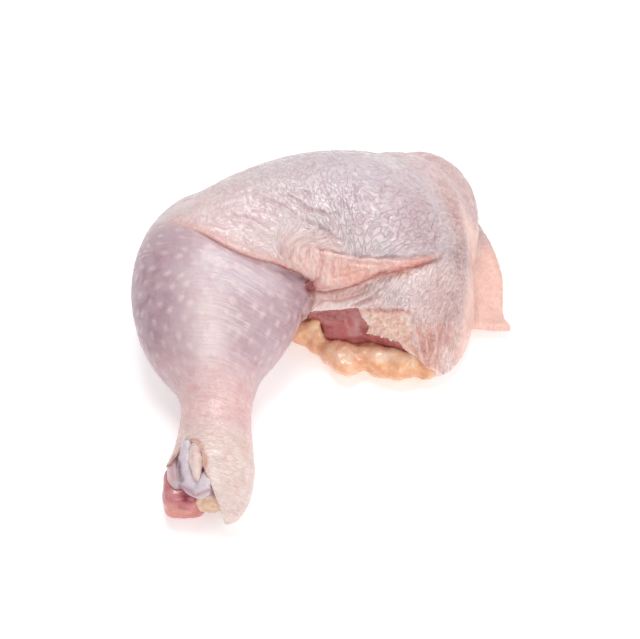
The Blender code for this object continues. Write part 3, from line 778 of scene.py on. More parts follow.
print("furrows:", {name: len(lines) for name, lines in FURROWS.items()})

# %% Sinking the furrows
SKIN_PULLS = [((-4.0, -1.0), (2.0, 2.0), (0.6, 2.4, 0.0))]
GROOVE_SHARE = 0.45
SHOULDER_PLACE = 0.95
SHOULDER_RISE = 0.4
LEAST_END = 0.25


def furrow(flat, depth, width, route):
    """How far each point drops into a furrow, in mm, and how much shade is painted there."""
    low, high = np.min(route, axis=0) - 3 * width, np.max(route, axis=0) + 3 * width
    close = np.all((flat[:, :2] > low) & (flat[:, :2] < high), axis=1)
    middle = (len(route) - 1) / 2
    rows = [(x, y, 0, 1 - abs(i / middle - 1) ** 4) for i, (x, y) in enumerate(route)]
    distance, _, fade = nearest_on_line(flat[close], rows)
    ends = LEAST_END + (1 - LEAST_END) * fade[:, 0]
    groove = np.exp(-((distance / (GROOVE_SHARE * width)) ** 2))
    shoulders = np.exp(-((2.2 * (distance / width - SHOULDER_PLACE)) ** 2))
    drop, painted_shade = np.zeros(len(flat)), np.zeros(len(flat))
    drop[close] = depth * (groove - SHOULDER_RISE * shoulders) * ends
    painted_shade[close] = groove * ends * min(depth, 1)
    return drop, painted_shade


drop, furrow_shade = np.zeros(web.count), np.zeros(web.count)
for deep, width, *route in sum(FURROWS.values(), []):
    one_drop, one_shade = furrow(drawing, deep, width, route)
    drop += one_drop
    furrow_shade = np.maximum(furrow_shade, one_shade)
drop *= facing * outside
furrow_shade *= facing * outside
points = pulled(points - normals * drop[:, None], SKIN_PULLS)
place_points(skin.data, points)
print("deepest furrow:", round(float(drop.max()), 2), "mm")

# %% [markdown]
# ## The grain of the skin
# Fine wrinkles need a direction. Over the thigh they fan out from the lip, under it they lean
# and then hang, and on the drumstick faint lines run beside the crease. Three numbers are kept for
# each point: how far it is across the wrinkles, how far along them, and how deep into the picture,
# so that the pattern isn't drawn out where the skin turns away.

# %% Across and along the wrinkles
FAN_MIDDLE = (12.0, 15.0)
FAN_RIGHT = 0.35
FAN_RADIUS = 22.0
HANG_SLOPE = 0.5
CREASE_SLOPE = 0.6
CREASE_START = -33
BREAK = (1.0, 2.0)
BREAK_ROUNDS = 3


def bend(values):
    """0 on the low side and the value itself on the high side, with a soft corner."""
    return 0.5 * (values + np.sqrt(values**2 + 16))


spread = across - FAN_MIDDLE[0]
spread = np.where(spread > 0, FAN_RIGHT * spread, spread)
rise = bend(up - FAN_MIDDLE[1])
fan = (FAN_RADIUS * np.arctan2(spread, rise), np.hypot(spread, rise))
hanging = (across - HANG_SLOPE * bend(up), up)
beside = (up + CREASE_SLOPE * bend(across - CREASE_START), across)
grain = np.stack(fan, 1)
for mask, other in ((lower, hanging), (np.minimum(pleated + lip, 1), (across, up))):
    grain += mask[:, None] * (np.stack(other, 1) - grain)
grain = np.where(drum[:, None] > 0.5, np.stack(beside, 1), grain)
keep(skin.data, "grain", np.column_stack([grain, (points - DRAWING_ORIGIN) @ FACING]))
broken = step(*BREAK, np.linalg.norm(grain - web.mean(grain), axis=1))
broken = web.spread(broken, BREAK_ROUNDS)
print("share of points where the grain breaks:", round(float((broken > 0.5).mean()), 3))

# %% [markdown]
# The drumstick's follicles lie in rows round it, so its skin is also unrolled: each slice of the
# drumstick has its own middle, and a point's place round that middle is an angle.

# %% The drumstick unrolled
UNROLLED_RADIUS = 19.0
SLICE = 3.0
ring_y = np.arange(-66, 12, SLICE)
ring_x, ring_z = [], []
for level in ring_y:
    ring = points[(drum > 0.5) & (np.abs(y - level) < SLICE) & (outside > 0.5)] - DRAWING_ORIGIN
    ring_x.append((ring[:, 0].min() + ring[:, 0].max()) / 2)
    ring_z.append(ring[:, 2].max() / 2)
turn = np.arctan2(x - np.interp(y, ring_y, ring_x), z - np.interp(y, ring_y, ring_z))
keep(skin.data, "unrolled", np.column_stack([turn * UNROLLED_RADIUS, y, 0 * y]))
print("slices:", len(ring_y))

# %% [markdown]
# Each texture gets a mask of its own. All of them fade out in the creases, on the rims and where
# the grain breaks, where a pattern would smear.

# %% Where each texture lies
def kept_off(*losses):
    """1 all over, less a share of each mask that is given."""
    left = np.ones(web.count)
    for share, mask in losses:
        left = left * (1 - share * mask)
    return left


edge_on = np.exp(-((normals @ FACING / 0.1) ** 2))
calm = 1 - np.maximum.reduce([rim, np.clip(1.5 * crease_shade, 0, 1), broken, 0.6 * edge_on])
inner_rolls = lower * dab((4, 7), 12, 6)

netted = kept_off((1, drum), (0.7, flap), (0.2, shoulder), (0.35, pleated), (0.5, lip))
netted *= 0.6 + 0.25 * (1 - facing) + 0.4 * dab((18, 32), 26, 14) + 0.2 * lower
netted *= kept_off((0.4, torn), (0.45, dab((-30, 34), 18, 9)))
netted *= 1 - 0.7 * inner_rolls
netted += 0.3 * neck + 0.2 * ankle + 0.25 * drum * dab((-58, 2), 8, 26)

gathered = kept_off((1, drum), (0.6, flap), (0.5, pleated), (0.3, lip))
gathered *= 0.5 + 0.45 * dab((14, 34), 30, 15) + 0.4 * lower + 0.3 * shoulder
gathered *= kept_off((1, torn), (0.85, inner_rolls))

dotted = drum * (1 - 0.75 * ankle) * (1 - 0.4 * neck)
dotted *= 0.6 + 0.4 * step(-0.4, 0.4, noise_of(points, 8.0, 25.0))

textures = {
    "netted": netted * outside * calm,
    "gathered": gathered * outside * calm,
    "dotted": dotted * outside * calm,
    "torn": torn * outside,
    "drum": drum,
    "striped": drum * np.minimum(dab((-21, 8), 15, 15) + 0.6 * dab((-34, -8), 9, 22), 1.0),
    "creased": crease_shade,
}
for name, mask in textures.items():
    keep(skin.data, name, mask)
print("textures:", ", ".join(textures))

# %% [markdown]
# ## Wrinkles and follicles
# The finest relief repeats over the whole surface, which suits Geometry Nodes. Two sizes of
# winding lines make the net of wrinkles, drawn-out lines make the gathers, and rows of round bumps
# make the follicles. Each is faded by its own mask, and the points move along their normals.


# %% Patterns
def noise_socket(tree, vector, scale, detail=2.0, output="Fac"):
    inputs = {"Vector": vector, "Scale": scale, "Detail": detail}
    return add_node(tree, "ShaderNodeTexNoise", inputs).outputs[output]


def cells_socket(tree, vector, scale, randomness, **settings):
    inputs = {"Vector": vector, "Scale": scale, "Randomness": randomness}
    return add_node(tree, "ShaderNodeTexVoronoi", inputs, **settings).outputs["Distance"]


def vector_sum(tree, a, b):
    return add_node(tree, "ShaderNodeVectorMath", {0: a, 1: b}, operation="ADD").outputs[0]


def shaken_place(tree, place, size, reach):
    """A place in mm, moved at random by up to about this much."""
    drift = noise_socket(tree, place, 1 / size, output="Color")
    drift = vector_sum(tree, drift, (-0.5, -0.5, -0.5))
    return vector_sum(tree, place, stretched(tree, drift, (2 * reach,) * 3))


def wrinkle_lines(tree, place, spacing, width):
    """Thin winding lines about this many mm apart: 1 on each line, and 0 beside it."""
    level = noise_socket(tree, place, calc(tree, "DIVIDE", 1.0, spacing), 1.5)
    return ramp(tree, calc(tree, "ABSOLUTE", calc(tree, "SUBTRACT", level, 0.5)), width, 0.0)


# %% Rows of follicles
DOT_ROWS = math.radians(40)
DOT_SPACING = 4.4
DOT_WIDTH = 3.2


def turned(tree, vector, angle):
    inputs = {"Vector": vector, "Angle": angle}
    return add_node(tree, "ShaderNodeVectorRotate", inputs, rotation_type="Z_AXIS").outputs[0]


def dots_socket(tree, place):
    """Round spots in slanting rows: 1 at the middle of each, and 0 between them."""
    place = turned(tree, shaken_place(tree, place, 3.0, 0.7), DOT_ROWS)
    far = cells_socket(tree, place, 1 / DOT_SPACING, 0.5, voronoi_dimensions="2D")
    return ramp(tree, far, 0.5 * DOT_WIDTH / DOT_SPACING, 0.0)


# %% What every relief tree begins and ends with
def named(tree, name, kind="FLOAT"):
    """What a mesh attribute says at each point."""
    made = add_node(tree, "GeometryNodeInputNamedAttribute", {"Name": name}, data_type=kind)
    return made.outputs["Attribute"]


def relief_tree(name, sizes):
    """An empty geometry tree that takes these sizes and a material."""
    inputs = {"Geometry": "NodeSocketGeometry", **sizes, "Material": "NodeSocketMaterial"}
    return new_tree(name, "GeometryNodeTree", inputs, {"Geometry": "NodeSocketGeometry"})


def raise_points(tree, given, result, height, mask_name, mask):
    """Keeps a mask, moves the points outwards by a height in mm, and sets the material."""
    normal = add_node(tree, "GeometryNodeInputNormal").outputs[0]
    inputs = {0: normal, "Scale": times(tree, height, MM)}
    offset = add_node(tree, "ShaderNodeVectorMath", inputs, operation="SCALE").outputs[0]
    inputs = {"Geometry": given["Geometry"], "Name": mask_name, "Value": mask}
    made = add_node(tree, "GeometryNodeStoreNamedAttribute", inputs, data_type="FLOAT").outputs[0]
    made = add_node(tree, "GeometryNodeSetPosition", {"Geometry": made, "Offset": offset}).outputs[0]
    made = add_node(tree, "GeometryNodeRealizeInstances", {0: made}).outputs[0]
    inputs = {"Geometry": made, "Material": given["Material"]}
    feed(tree, result, {0: add_node(tree, "GeometryNodeSetMaterial", inputs).outputs[0]})
    return tree


# %% The relief of the skin
NET_STRETCH = (1.0, 0.34, 0.5)
GATHER_STRETCH = (1.0, 0.2, 0.3)
SKIN_SIZES = {
    "Net size": 1.15,
    "Net depth": 0.19,
    "Gather width": 1.7,
    "Gather depth": 0.42,
    "Dot height": 0.2,
}


def wrinkled_skin():
    tree, given, result = relief_tree("Wrinkled skin", SKIN_SIZES)
    place = in_mm(tree, add_node(tree, "GeometryNodeInputPosition").outputs[0])
    grain = named(tree, "grain", "FLOAT_VECTOR")

    drawn_out = stretched(tree, shaken_place(tree, grain, 3.0, 1.0), NET_STRETCH)
    small = wrinkle_lines(tree, drawn_out, given["Net size"], 0.07)
    cell_scale = calc(tree, "DIVIDE", 0.6, given["Net size"])
    large = cells_socket(tree, drawn_out, cell_scale, 1.0, feature="DISTANCE_TO_EDGE")
    net = calc(tree, "MAXIMUM", times(tree, small, 0.7), ramp(tree, large, 0.16, 0.0))
    net = times(tree, net, ramp(tree, noise_socket(tree, place, 0.16), 0.3, 0.6, 0.45, 1.0))
    net = times(tree, net, named(tree, "netted"))

    streak = stretched(tree, shaken_place(tree, grain, 4.0, 1.3), GATHER_STRETCH)
    gather = wrinkle_lines(tree, streak, given["Gather width"], 0.08)
    gather = times(tree, gather, named(tree, "gathered"))

    dots = dots_socket(tree, named(tree, "unrolled", "FLOAT_VECTOR"))
    dots = times(tree, dots, named(tree, "dotted"))

    grit = cells_socket(tree, shaken_place(tree, place, 2.5, 0.7), 0.7, 1.0, feature="F1")
    grit = times(tree, ramp(tree, grit, 0.8, 0.1, -0.3, 0.4), named(tree, "torn"))

    height = times(tree, net, times(tree, given["Net depth"], -1.0))
    height = calc(tree, "SUBTRACT", height, times(tree, gather, given["Gather depth"]))
    height = calc(tree, "MULTIPLY_ADD", dots, given["Dot height"], height)
    height = calc(tree, "ADD", height, grit)
    # the mask where the skin's material paints shade into the hollows
    hollow_shade = calc(tree, "MAXIMUM", net, gather)
    return raise_points(tree, given, result, height, "hollow_shade", hollow_shade)


def grow(obj, tree, values):
    """Runs a geometry tree on an object and keeps what it makes as a plain mesh."""
    modifier = obj.modifiers.new(tree.name, "NODES")
    modifier.node_group = tree
    for socket in tree.interface.items_tree:
        if socket.in_out == "INPUT" and socket.name in values:
            modifier[socket.identifier] = values[socket.name]
    return apply_modifiers(obj)


WRINKLED_SKIN = wrinkled_skin()
print("nodes in the skin's relief:", len(WRINKLED_SKIN.nodes))

# %% [markdown]
# ## Colour of the skin
# The colours are mixed like paint: a ground colour for each region, then soft dabs where the
# photograph shows a warmer or a greyer patch, then painted shade in the creases and painted highlights
# on the folds.

# %% Paint
PAINTS = {
    "pearl": (226, 212, 211),
    "lavender": (214, 200, 208),
    "mauve": (206, 180, 187),
    "deep mauve": (180, 148, 160),
    "lilac": (204, 190, 210),
    "blush": (233, 210, 207),
    "rose": (238, 203, 202),
    "cream": (238, 219, 208),
    "salmon": (224, 162, 155),
    "coral": (232, 184, 172),
    "peach": (246, 198, 182),
    "dried": (190, 118, 86),
    "milky": (243, 226, 222),
    "wrinkle shade": (196, 160, 162),
    "deep salmon": (204, 124, 112),
    "red-brown shade": (186, 84, 54),
    "deepest crease shade": (128, 52, 50),
    "apricot": (230, 160, 134),
    "near white": (252, 240, 238),
    "light tan": (252, 222, 200),
    "old rose": (202, 158, 155),
    "dusk": (160, 124, 140),
    "pit": (110, 14, 14),
    "wine": (166, 52, 58),
}


def paint(name):
    """A colour given as it appears on a screen, in linear light."""
    return (np.array(PAINTS[name]) / 255) ** 2.2


def ground(points, name):
    """One paint all over."""
    return np.tile(paint(name), (len(points), 1))


def painted(colour, layers):
    """The colour under layers of paint: for each, its name and how much of it lies where."""
    for name, amount in layers:
        colour = colour + np.clip(amount, 0, 1)[:, None] * (paint(name) - colour)
    return colour


print("paints:", len(PAINTS))

# %% Paint over the thigh
cloud = 0.5 + 0.5 * noise_of(points, 9.0, 5.0)
patch = 0.5 + 0.6 * noise_of(points, 3.2, 8.0)
fleck = step(0.25, 0.6, noise_of(points, 1.6, 21.0))
over_thigh = [
    ("lavender", 0.8 * cloud),
    ("blush", 0.9 * dab((-38, 36), 16, 12) + 0.7 * dab((-22, 30), 14, 10)),
    ("lilac", 0.5 * patch * dab((12, 46), 24, 12)),
    ("mauve", 0.7 * dab((33, 37), 9, 13) + 0.5 * dab((36, 26), 7, 8)),
    ("coral", 0.35 * patch * dab((-8, 38), 30, 12) * fleck),
    ("mauve", 0.3 * dab((-27, 36), 14, 9)),
    ("blush", 0.7 * shoulder),
    ("coral", 0.1 * shoulder * patch),
]
tint = painted(ground(points, "pearl"), over_thigh)
print("layers over the thigh:", len(over_thigh))

# %% Paint under the lip and on the flap
painted_light_under_lip = lower * step(6, 0.5, lip_edge_up - up)
low_down = lower * step(0, -10, up)
under_the_lip = [
    ("milky", lower),
    ("near white", 0.5 * lower * dab((24, 8), 14, 9)),
    ("coral", lower * (0.2 + 0.3 * step(4, -8, up))),
    ("apricot", 0.2 * lower * step(-2, -12, up)),
    ("peach", 0.8 * low_down),
    ("near white", low_down * patch),
    # painted light: the skin just under the lip's edge and beside the knee pit is lightened against
    # the shade of the overhang
    ("near white", 0.8 * painted_light_under_lip + 0.7 * lower * dab((3, 5), 10, 5)),
    ("old rose", 0.6 * lower * dab((43, 4), 9, 14)),
    ("lilac", 0.15 * lower * dab((26, 9), 10, 5)),
    ("peach", 0.6 * lower * patch * dab((37, -9), 8, 8) + 0.95 * flap),
]
tint = painted(tint, under_the_lip)
print("layers under the lip:", len(under_the_lip))

# %% [markdown]
# The drumstick's skin is thin and stretched tight, so the dark meat shows through it as mauve. It
# turns rose at the neck and cream at the ankle. It is mixed as a colour of its own, and laid over
# the thigh's through the drumstick's mask, so that the two meet along the crease.

# %% Paint on the drumstick
over_drumstick = [
    ("deep mauve", 0.8 * cloud * patch + 0.7 * dab((-57, 4), 9, 24)),
    ("deep mauve", 0.35 * dab((-45, 26), 8, 8)),
    ("dusk", 0.8 * step(0.4, 0.9, patch) * dab((-59, 0), 8, 24)),
    # painted highlight: a pale band down the middle of the drumstick, under the broad light above
    ("milky", 0.75 * dab((-38, -4), 6, 22)),
    ("lavender", 0.7 * dab((-32, 17), 13, 7) + 0.5 * dab((-17, 13), 10, 5)),
    ("deep mauve", 0.6 * dab((-8, 6), 5, 9) + 0.5 * dab((-17, -2), 9, 12)),
    ("salmon", 0.3 * patch * dab((-53, -15), 8, 6)),
    ("rose", 0.8 * neck),
    ("salmon", 0.16 * neck * patch),
    ("cream", 0.8 * ankle),
    ("near white", 0.5 * ankle * step(0.4, 0.9, patch)),
    ("coral", 0.35 * ankle * fleck + 0.5 * dab((-24.6, -43), 1.4, 3.0)),
    ("dried", 0.7 * dab((-50.5, -46), 3.0, 4.0)),
]
skin_drum = painted(ground(points, "mauve"), over_drumstick)
tint = tint + drum[:, None] * (skin_drum - tint)
print("layers on the drumstick:", len(over_drumstick))

# %% Painted shade on the far side, where the skin turns away
side = step(39, 46, x + 0.12 * (y - 10)) * (1 - flap) * (1 - 0.5 * step(26, 36, y))
tint = painted(tint, [("old rose", 0.85 * side), ("milky", 0.15 * side * patch)])
print("share of the far side:", round(float(side.mean()), 2))

# %% [markdown]
# Skin that is gathered or folded is thicker, so it is milky, with painted highlights on its tops and
# warm coral between them. The rolls under the lip are too narrow for masks of their own. Each gets a
# painted highlight along its top, and a line of painted shade runs between it and the next.

# %% Paint on the hem, the pleats and the lip
HEM_WIDTH = 2.8
PLEAT_HIGHLIGHTS = [
    ((-7.8, 22.4), 1.0, 3.0), ((-5.4, 20.8), 1.0, 2.2), ((-2.6, 20.8), 1.0, 1.4),
    ((1.7, 25.2), 1.4, 1.8), ((2.0, 17.5), 1.2, 1.5), ((-11.5, 22.5), 1.2, 2.4),
]
edge_distance, edge_offset, _ = nearest_on_line(points, drawn(over_drum))
hem = np.exp(-((edge_distance / HEM_WIDTH) ** 2)) * (edge_offset @ CREASE_UP > 0) * (1 - drum)
above_lip = step(3.5, 0.3, up - lip_edge_up) * (up > lip_edge_up)
tint = painted(tint, [
    ("coral", 0.75 * hem),
    ("milky", 0.9 * pleated),
    ("coral", 0.3 * pleated + 0.4 * pleated * patch),
    ("coral", 0.75 * lip),
    ("salmon", 0.6 * np.maximum(lip, pleated) * above_lip),
    ("apricot", 0.75 * dab((11.5, 15.6), 5, 3.4) + 0.35 * lip * above_lip),
])
# painted highlights: pale blobs on the tops of the pleats
tint = painted(tint, [("milky", 0.4 * dab(*blob)) for blob in PLEAT_HIGHLIGHTS])
print("share of the hem:", round(float(hem.mean()), 3))

# %% Paint on the rolls under the lip
ROLL_HIGHLIGHTS = [
    [(-1, 9), (4, 9), (9, 9.8), (13, 11.8), (18, 13.5)],
    [(1, 6.9), (5, 7.1), (10, 7.8), (14, 9.6)],
    [(-2, 3), (3, 4), (9, 4.8), (14, 7), (18, 8.6)],
]
ROLL_SHADE_LINES = [
    [(-2.4, 7.7), (2, 7.5), (5.1, 7.7), (8.5, 8), (10.9, 9), (12.9, 10.4), (16, 11.6)],
    [(-0.7, 4.9), (2, 6), (5.1, 6.3), (8.5, 6.6), (12.2, 8), (15.5, 9.6)],
    [(10.9, 4.6), (13.6, 5.6), (17, 6.6), (20.4, 8.3)],
]
# a painted highlight along the top of each roll, then painted shade in the line between rolls
tint = painted(tint, [("near white", 0.9 * lower * line(top, 1.1)) for top in ROLL_HIGHLIGHTS])
tint = painted(tint, [("deep salmon", 0.45 * lower * line(low, 0.5)) for low in ROLL_SHADE_LINES])
tint = painted(tint, [("apricot", 0.3 * inner_rolls * patch)])
print("rolls:", len(ROLL_HIGHLIGHTS), "and lines between them:", len(ROLL_SHADE_LINES))

# %% [markdown]
# The lower edge of the skin is torn. It shows there as a tan, granular patch with a cream border,
# and warm streaks run down between the last folds beside it.

# %% Paint on the torn patch and the streaks beside it
TORN_BORDER = [(12.6, 1.6), (13.9, -1.2), (16.2, -5.6), (22.0, -6.8), (26.4, -7.6), (27.2, -9.2)]
TORN_TOP = [(12.8, 2.2), (16, 3.0), (19, 2.6), (22.5, 2.6), (27, 2.6), (31, 2.2)]
STREAKS = [
    [(34, -3), (35, -10), (36.5, -17)],
    [(37.5, -4), (37.2, -9), (37.5, -17)],
    [(41, -2), (40.2, -9), (39.2, -16)],
    [(31.5, -9), (34, -14), (36, -18)],
]
tint = painted(tint, [
    ("light tan", 0.9 * torn),
    ("apricot", 0.55 * torn * step(0.5, 1.0, patch)),
    ("near white", 0.6 * torn * step(0.5, 0.0, patch)),
    ("cream", 0.7 * line(TORN_BORDER, 0.9)),
    ("apricot", 0.7 * line(TORN_TOP, 0.8) + 0.8 * dab((27.2, 16.5), 3, 1.2)),
])
tint = painted(tint, [("apricot", 0.85 * line(streak, 0.8)) for streak in STREAKS])
print("streaks:", len(STREAKS))

# %% [markdown]
# The furrows and creases get painted shade. On the grey thigh it is a duller mauve, and wherever the
# skin is gathered or folded it is salmon, and red-brown at the bottom of a crease. A mask is kept of
# where fine lines redden too.

# %% Paint in the furrows and the creases
warm = np.clip(lip + lower * dab((5, 5), 14, 10), 0, 1)
low_folds = lower * step(2, -6, up)
# painted shade in the furrows and creases, darkest at the bottom of a crease
tint = painted(tint, [
    ("wrinkle shade", 0.6 * furrow_shade * (1 - np.maximum.reduce([warm, pleated, low_folds]))),
    ("salmon", 0.7 * furrow_shade * np.maximum.reduce([pleated, lip, low_folds])),
    ("deep salmon", 0.35 * furrow_shade * warm * (1 - lip)),
    ("deep salmon", 1.2 * crease_shade),
    ("red-brown shade", 0.7 * step(0.35, 0.7, crease_shade)),
    ("deepest crease shade", 0.85 * step(0.7, 1.0, crease_shade)),
])
red_places = [pleated, 0.9 * lip, 0.5 * warm, 0.7 * low_folds, 0.25 * hem, 0.1 * shoulder]
reddened = np.maximum.reduce([*red_places, 0.6 * neck * (1 - ankle)])
keep(skin.data, "reddened", reddened * outside)
print("share reddened:", round(float(reddened.mean()), 2))

# %% [markdown]
# Light comes through the thin edge of the lip, so a warm glow is painted just under it, next to a
# red-brown line of painted shadow. The pit of the knee is painted darkest of all, a deep wine red that
# is partly its own colour and partly painted shade, and painted shade runs down the wall beside the
# drumstick under it.

# %% Paint under the lip's edge and in the pit of the knee
PIT_COLOUR_AND_SHADE_DABS = [
    ((-4.6, -11.4, 18.0), 4.4, "wrinkle shade", 0.7),
    ((-4.5, -11.4, 24.0), 3.8, "wrinkle shade", 0.8),
    ((-4.0, -10.2, 28.6), 3.0, "wine", 0.6),
    ((-4.2, -9.1, 32.8), 3.8, "wine", 0.95),
]
below_lip = lip_edge_up - up
at_lip = np.maximum(facing, folded) * (1 - drum) * outside
at_lip = at_lip * step(-5, -1, across) * step(43, 37, across)
glow = np.exp(-((below_lip - 1.5) ** 2)) * (0.3 + 0.7 * dab((24, 15), 7, 6))
tint = painted(tint, [
    # painted light and shadow: a warm glow under the lip's edge and a thin red-brown shadow line along
    # it; the pit is painted dark wine red, partly its own colour and partly shade
    ("apricot", 0.5 * at_lip * glow),
    ("red-brown shade", 0.85 * at_lip * np.exp(-(((below_lip - 0.1) / 0.45) ** 2))),
    ("wine", 0.85 * dab((-2.4, 11.6), 2.2, 1.6)),
    ("pit", 0.9 * dab((-3.8, 13.4), 1.2, 1.1)),
])
# painted shade, with some of the pit's own red, on the wall round the knee pit
for place, reach, name, amount in PIT_COLOUR_AND_SHADE_DABS:
    gap = np.linalg.norm(points - drawn([place])[0], axis=1)
    tint = painted(tint, [(name, amount * (1 - 0.75 * drum) * step(reach, 0.4 * reach, gap))])
dried_rim = step(0.15, 0.6, rim) * step(-55, -60, y) * drum * outside
tint = painted(tint, [("dried", 0.9 * dried_rim)])
keep(skin.data, "tint", tint)
print("mean colour of the skin:", [round(float(v), 2) for v in tint.mean(0)])

# %% [markdown]
# ## Shared finishes
# Three effects come back on every piece of the leg: a cloudy change of colour, small uneven
# bumps, and a wet film that is smoother in some places than in others. Each is a shader group.


# %% Shader groups
def object_place(tree):
    """A place on the piece, in mm."""
    return in_mm(tree, add_node(tree, "ShaderNodeTexCoord").outputs["Object"])


def mixed(tree, factor, a, b, blend="MIX"):
    inputs = {0: factor, 6: a, 7: b}
    settings = {"data_type": "RGBA", "blend_type": blend}
    return add_node(tree, "ShaderNodeMix", inputs, **settings).outputs[2]


def scaled_noise(tree, size, detail):
    """Noise on the piece that changes over about this many mm."""
    return noise_socket(tree, object_place(tree), calc(tree, "DIVIDE", 1.0, size), detail)


def cloudy_group():
    """Colour that drifts towards a second one in soft clouds."""
    colours = {"Color": "NodeSocketColor", "Other": "NodeSocketColor"}
    inputs = {**colours, "Size": 4.0, "Amount": 0.5}
    outputs = {"Color": "NodeSocketColor"}
    tree, given, result = new_tree("Cloudy", "ShaderNodeTree", inputs, outputs)
    mask = ramp(tree, scaled_noise(tree, given["Size"], 4.0), 0.38, 0.68)
    mask = times(tree, mask, given["Amount"])
    feed(tree, result, {"Color": mixed(tree, mask, given["Color"], given["Other"])})
    return tree


def bumpy_group():
    """Small uneven bumps, as a height in mm."""
    inputs = {"Size": 1.0, "Height": 0.1}
    tree, given, result = new_tree("Bumpy", "ShaderNodeTree", inputs, {"Height": 0.0})
    rough = scaled_noise(tree, given["Size"], 3.0)
    feed(tree, result, {"Height": times(tree, rough, given["Height"])})
    return tree


def wet_group():
    """Roughness that changes in patches, as a film of water does."""
    inputs = {"Low": 0.2, "High": 0.5, "Size": 5.0}
    tree, given, result = new_tree("Wet", "ShaderNodeTree", inputs, {"Roughness": 0.3})
    film = scaled_noise(tree, given["Size"], 3.0)
    film = ramp(tree, film, 0.35, 0.65, given["Low"], given["High"])
    feed(tree, result, {"Roughness": film})
    return tree


CLOUDY, BUMPY, WET = cloudy_group(), bumpy_group(), wet_group()
print("shared groups:", ", ".join(group.name for group in (CLOUDY, BUMPY, WET)))


# %% What the materials share
SOFT_LIGHT = (1.0, 0.42, 0.32)


def placed(tree, group, inputs):
    """What a copy of a shared group puts out, with its own values."""
    return add_node(tree, "ShaderNodeGroup", inputs, node_tree=group).outputs[0]


def flesh_material(name, settings):
    """A material whose light goes a little way in, as in any raw tissue."""
    material = bpy.data.materials.new(name)
    material.use_nodes = True
    shader = material.node_tree.nodes["Principled BSDF"].inputs
    for key, value in {"Subsurface Radius": SOFT_LIGHT, **settings}.items():
        shader[key].default_value = value
    return material, material.node_tree, shader


def rgba(name):
    return (*paint(name), 1.0)


def attribute(tree, name, output="Fac"):
    return add_node(tree, "ShaderNodeAttribute", attribute_name=name).outputs[output]


def bump(tree, height, strength=1.0):
    """A normal from a height in mm."""
    inputs = {"Height": height, "Distance": MM, "Strength": strength}
    return add_node(tree, "ShaderNodeBump", inputs).outputs["Normal"]


# %% [markdown]
# ## The skin's finish
# The painted colour is broken up with clouds and with pale follicles, wrinkles get painted shade that
# is a little darker and redder at the bottom, and fine lines follow the grain, with bands of painted
# highlight between them where the skin is gathered. A wet coat lies over it.


# %% The skin's colour
BLOTCH = (0.93, 0.84, 0.87, 1)
PALE = (0.95, 0.87, 0.86, 1)
HOLLOW_SHADE = (0.76, 0.62, 0.63, 1)
RED_STRETCH = (1.0, 0.22, 0.4)


def clouded_tint(tree):
    """The painted colour with faint blotches, and paler clouds where the skin is loose."""
    colour = attribute(tree, "tint", "Color")
    blotch = mixed(tree, 1.0, colour, BLOTCH, "MULTIPLY")
    colour = placed(tree, CLOUDY, {"Color": colour, "Other": blotch, "Size": 5.0, "Amount": 0.7})
    pale = mixed(tree, 0.4, colour, PALE)
    tight = ramp(tree, attribute(tree, "drum"), 0.2, 0.8, 0.55, 0.15)
    return placed(tree, CLOUDY, {"Color": colour, "Other": pale, "Size": 1.3, "Amount": tight})


def spotted(tree, colour, dots):
    """The grains of the torn patch, and the follicles."""
    grit = wrinkle_lines(tree, shaken_place(tree, object_place(tree), 2.0, 0.8), 1.8, 0.06)
    grit = times(tree, grit, times(tree, attribute(tree, "torn"), 0.55))
    colour = mixed(tree, grit, colour, rgba("apricot"))
    return mixed(tree, times(tree, dots, 0.64), colour, rgba("blush"))


def wrinkled(tree, colour, loose, fine_net):
    """Red lines and bands of painted highlight where the skin is gathered, and painted shade in the
    hollows.
    """
    reddened = attribute(tree, "reddened")
    red_lines = wrinkle_lines(tree, stretched(tree, loose, RED_STRETCH), 1.7, 0.06)
    red_lines = times(tree, red_lines, reddened)
    colour = mixed(tree, times(tree, red_lines, 0.85), colour, rgba("salmon"))
    # painted highlight: light tan bands between the gathered lines
    highlight_bands = noise_socket(tree, stretched(tree, loose, GATHER_STRETCH), 0.6, 2.0)
    highlight_bands = times(tree, ramp(tree, highlight_bands, 0.46, 0.7, 0.0, 0.4), reddened)
    colour = mixed(tree, highlight_bands, colour, rgba("light tan"))
    # painted shade: the colour is multiplied darker in the hollows and along the fine net
    hollow_shade = times(tree, attribute(tree, "hollow_shade"), 0.27)
    hollow_shade = calc(tree, "MULTIPLY_ADD", fine_net, 0.38, hollow_shade)
    return mixed(tree, hollow_shade, colour, mixed(tree, 1.0, colour, HOLLOW_SHADE, "MULTIPLY"))


def striped(tree, colour, lines, where):
    """Faint pale and dark lines beside the crease, where the drumstick's skin is stretched."""
    pale_lines = times(tree, ramp(tree, lines, 0.45, 0.72, 0.0, 0.5), where)
    colour = mixed(tree, pale_lines, colour, rgba("milky"))
    dark_lines = times(tree, ramp(tree, lines, 0.46, 0.3, 0.0, 0.3), where)
    return mixed(tree, dark_lines, colour, rgba("deep mauve"))


# %% Skin material
FIBRE_STRETCH = (1.0, 0.07, 0.07)
THIN_LIGHT = {"Subsurface Weight": 0.1, "Subsurface Scale": 0.0006, "Coat Roughness": 0.14}


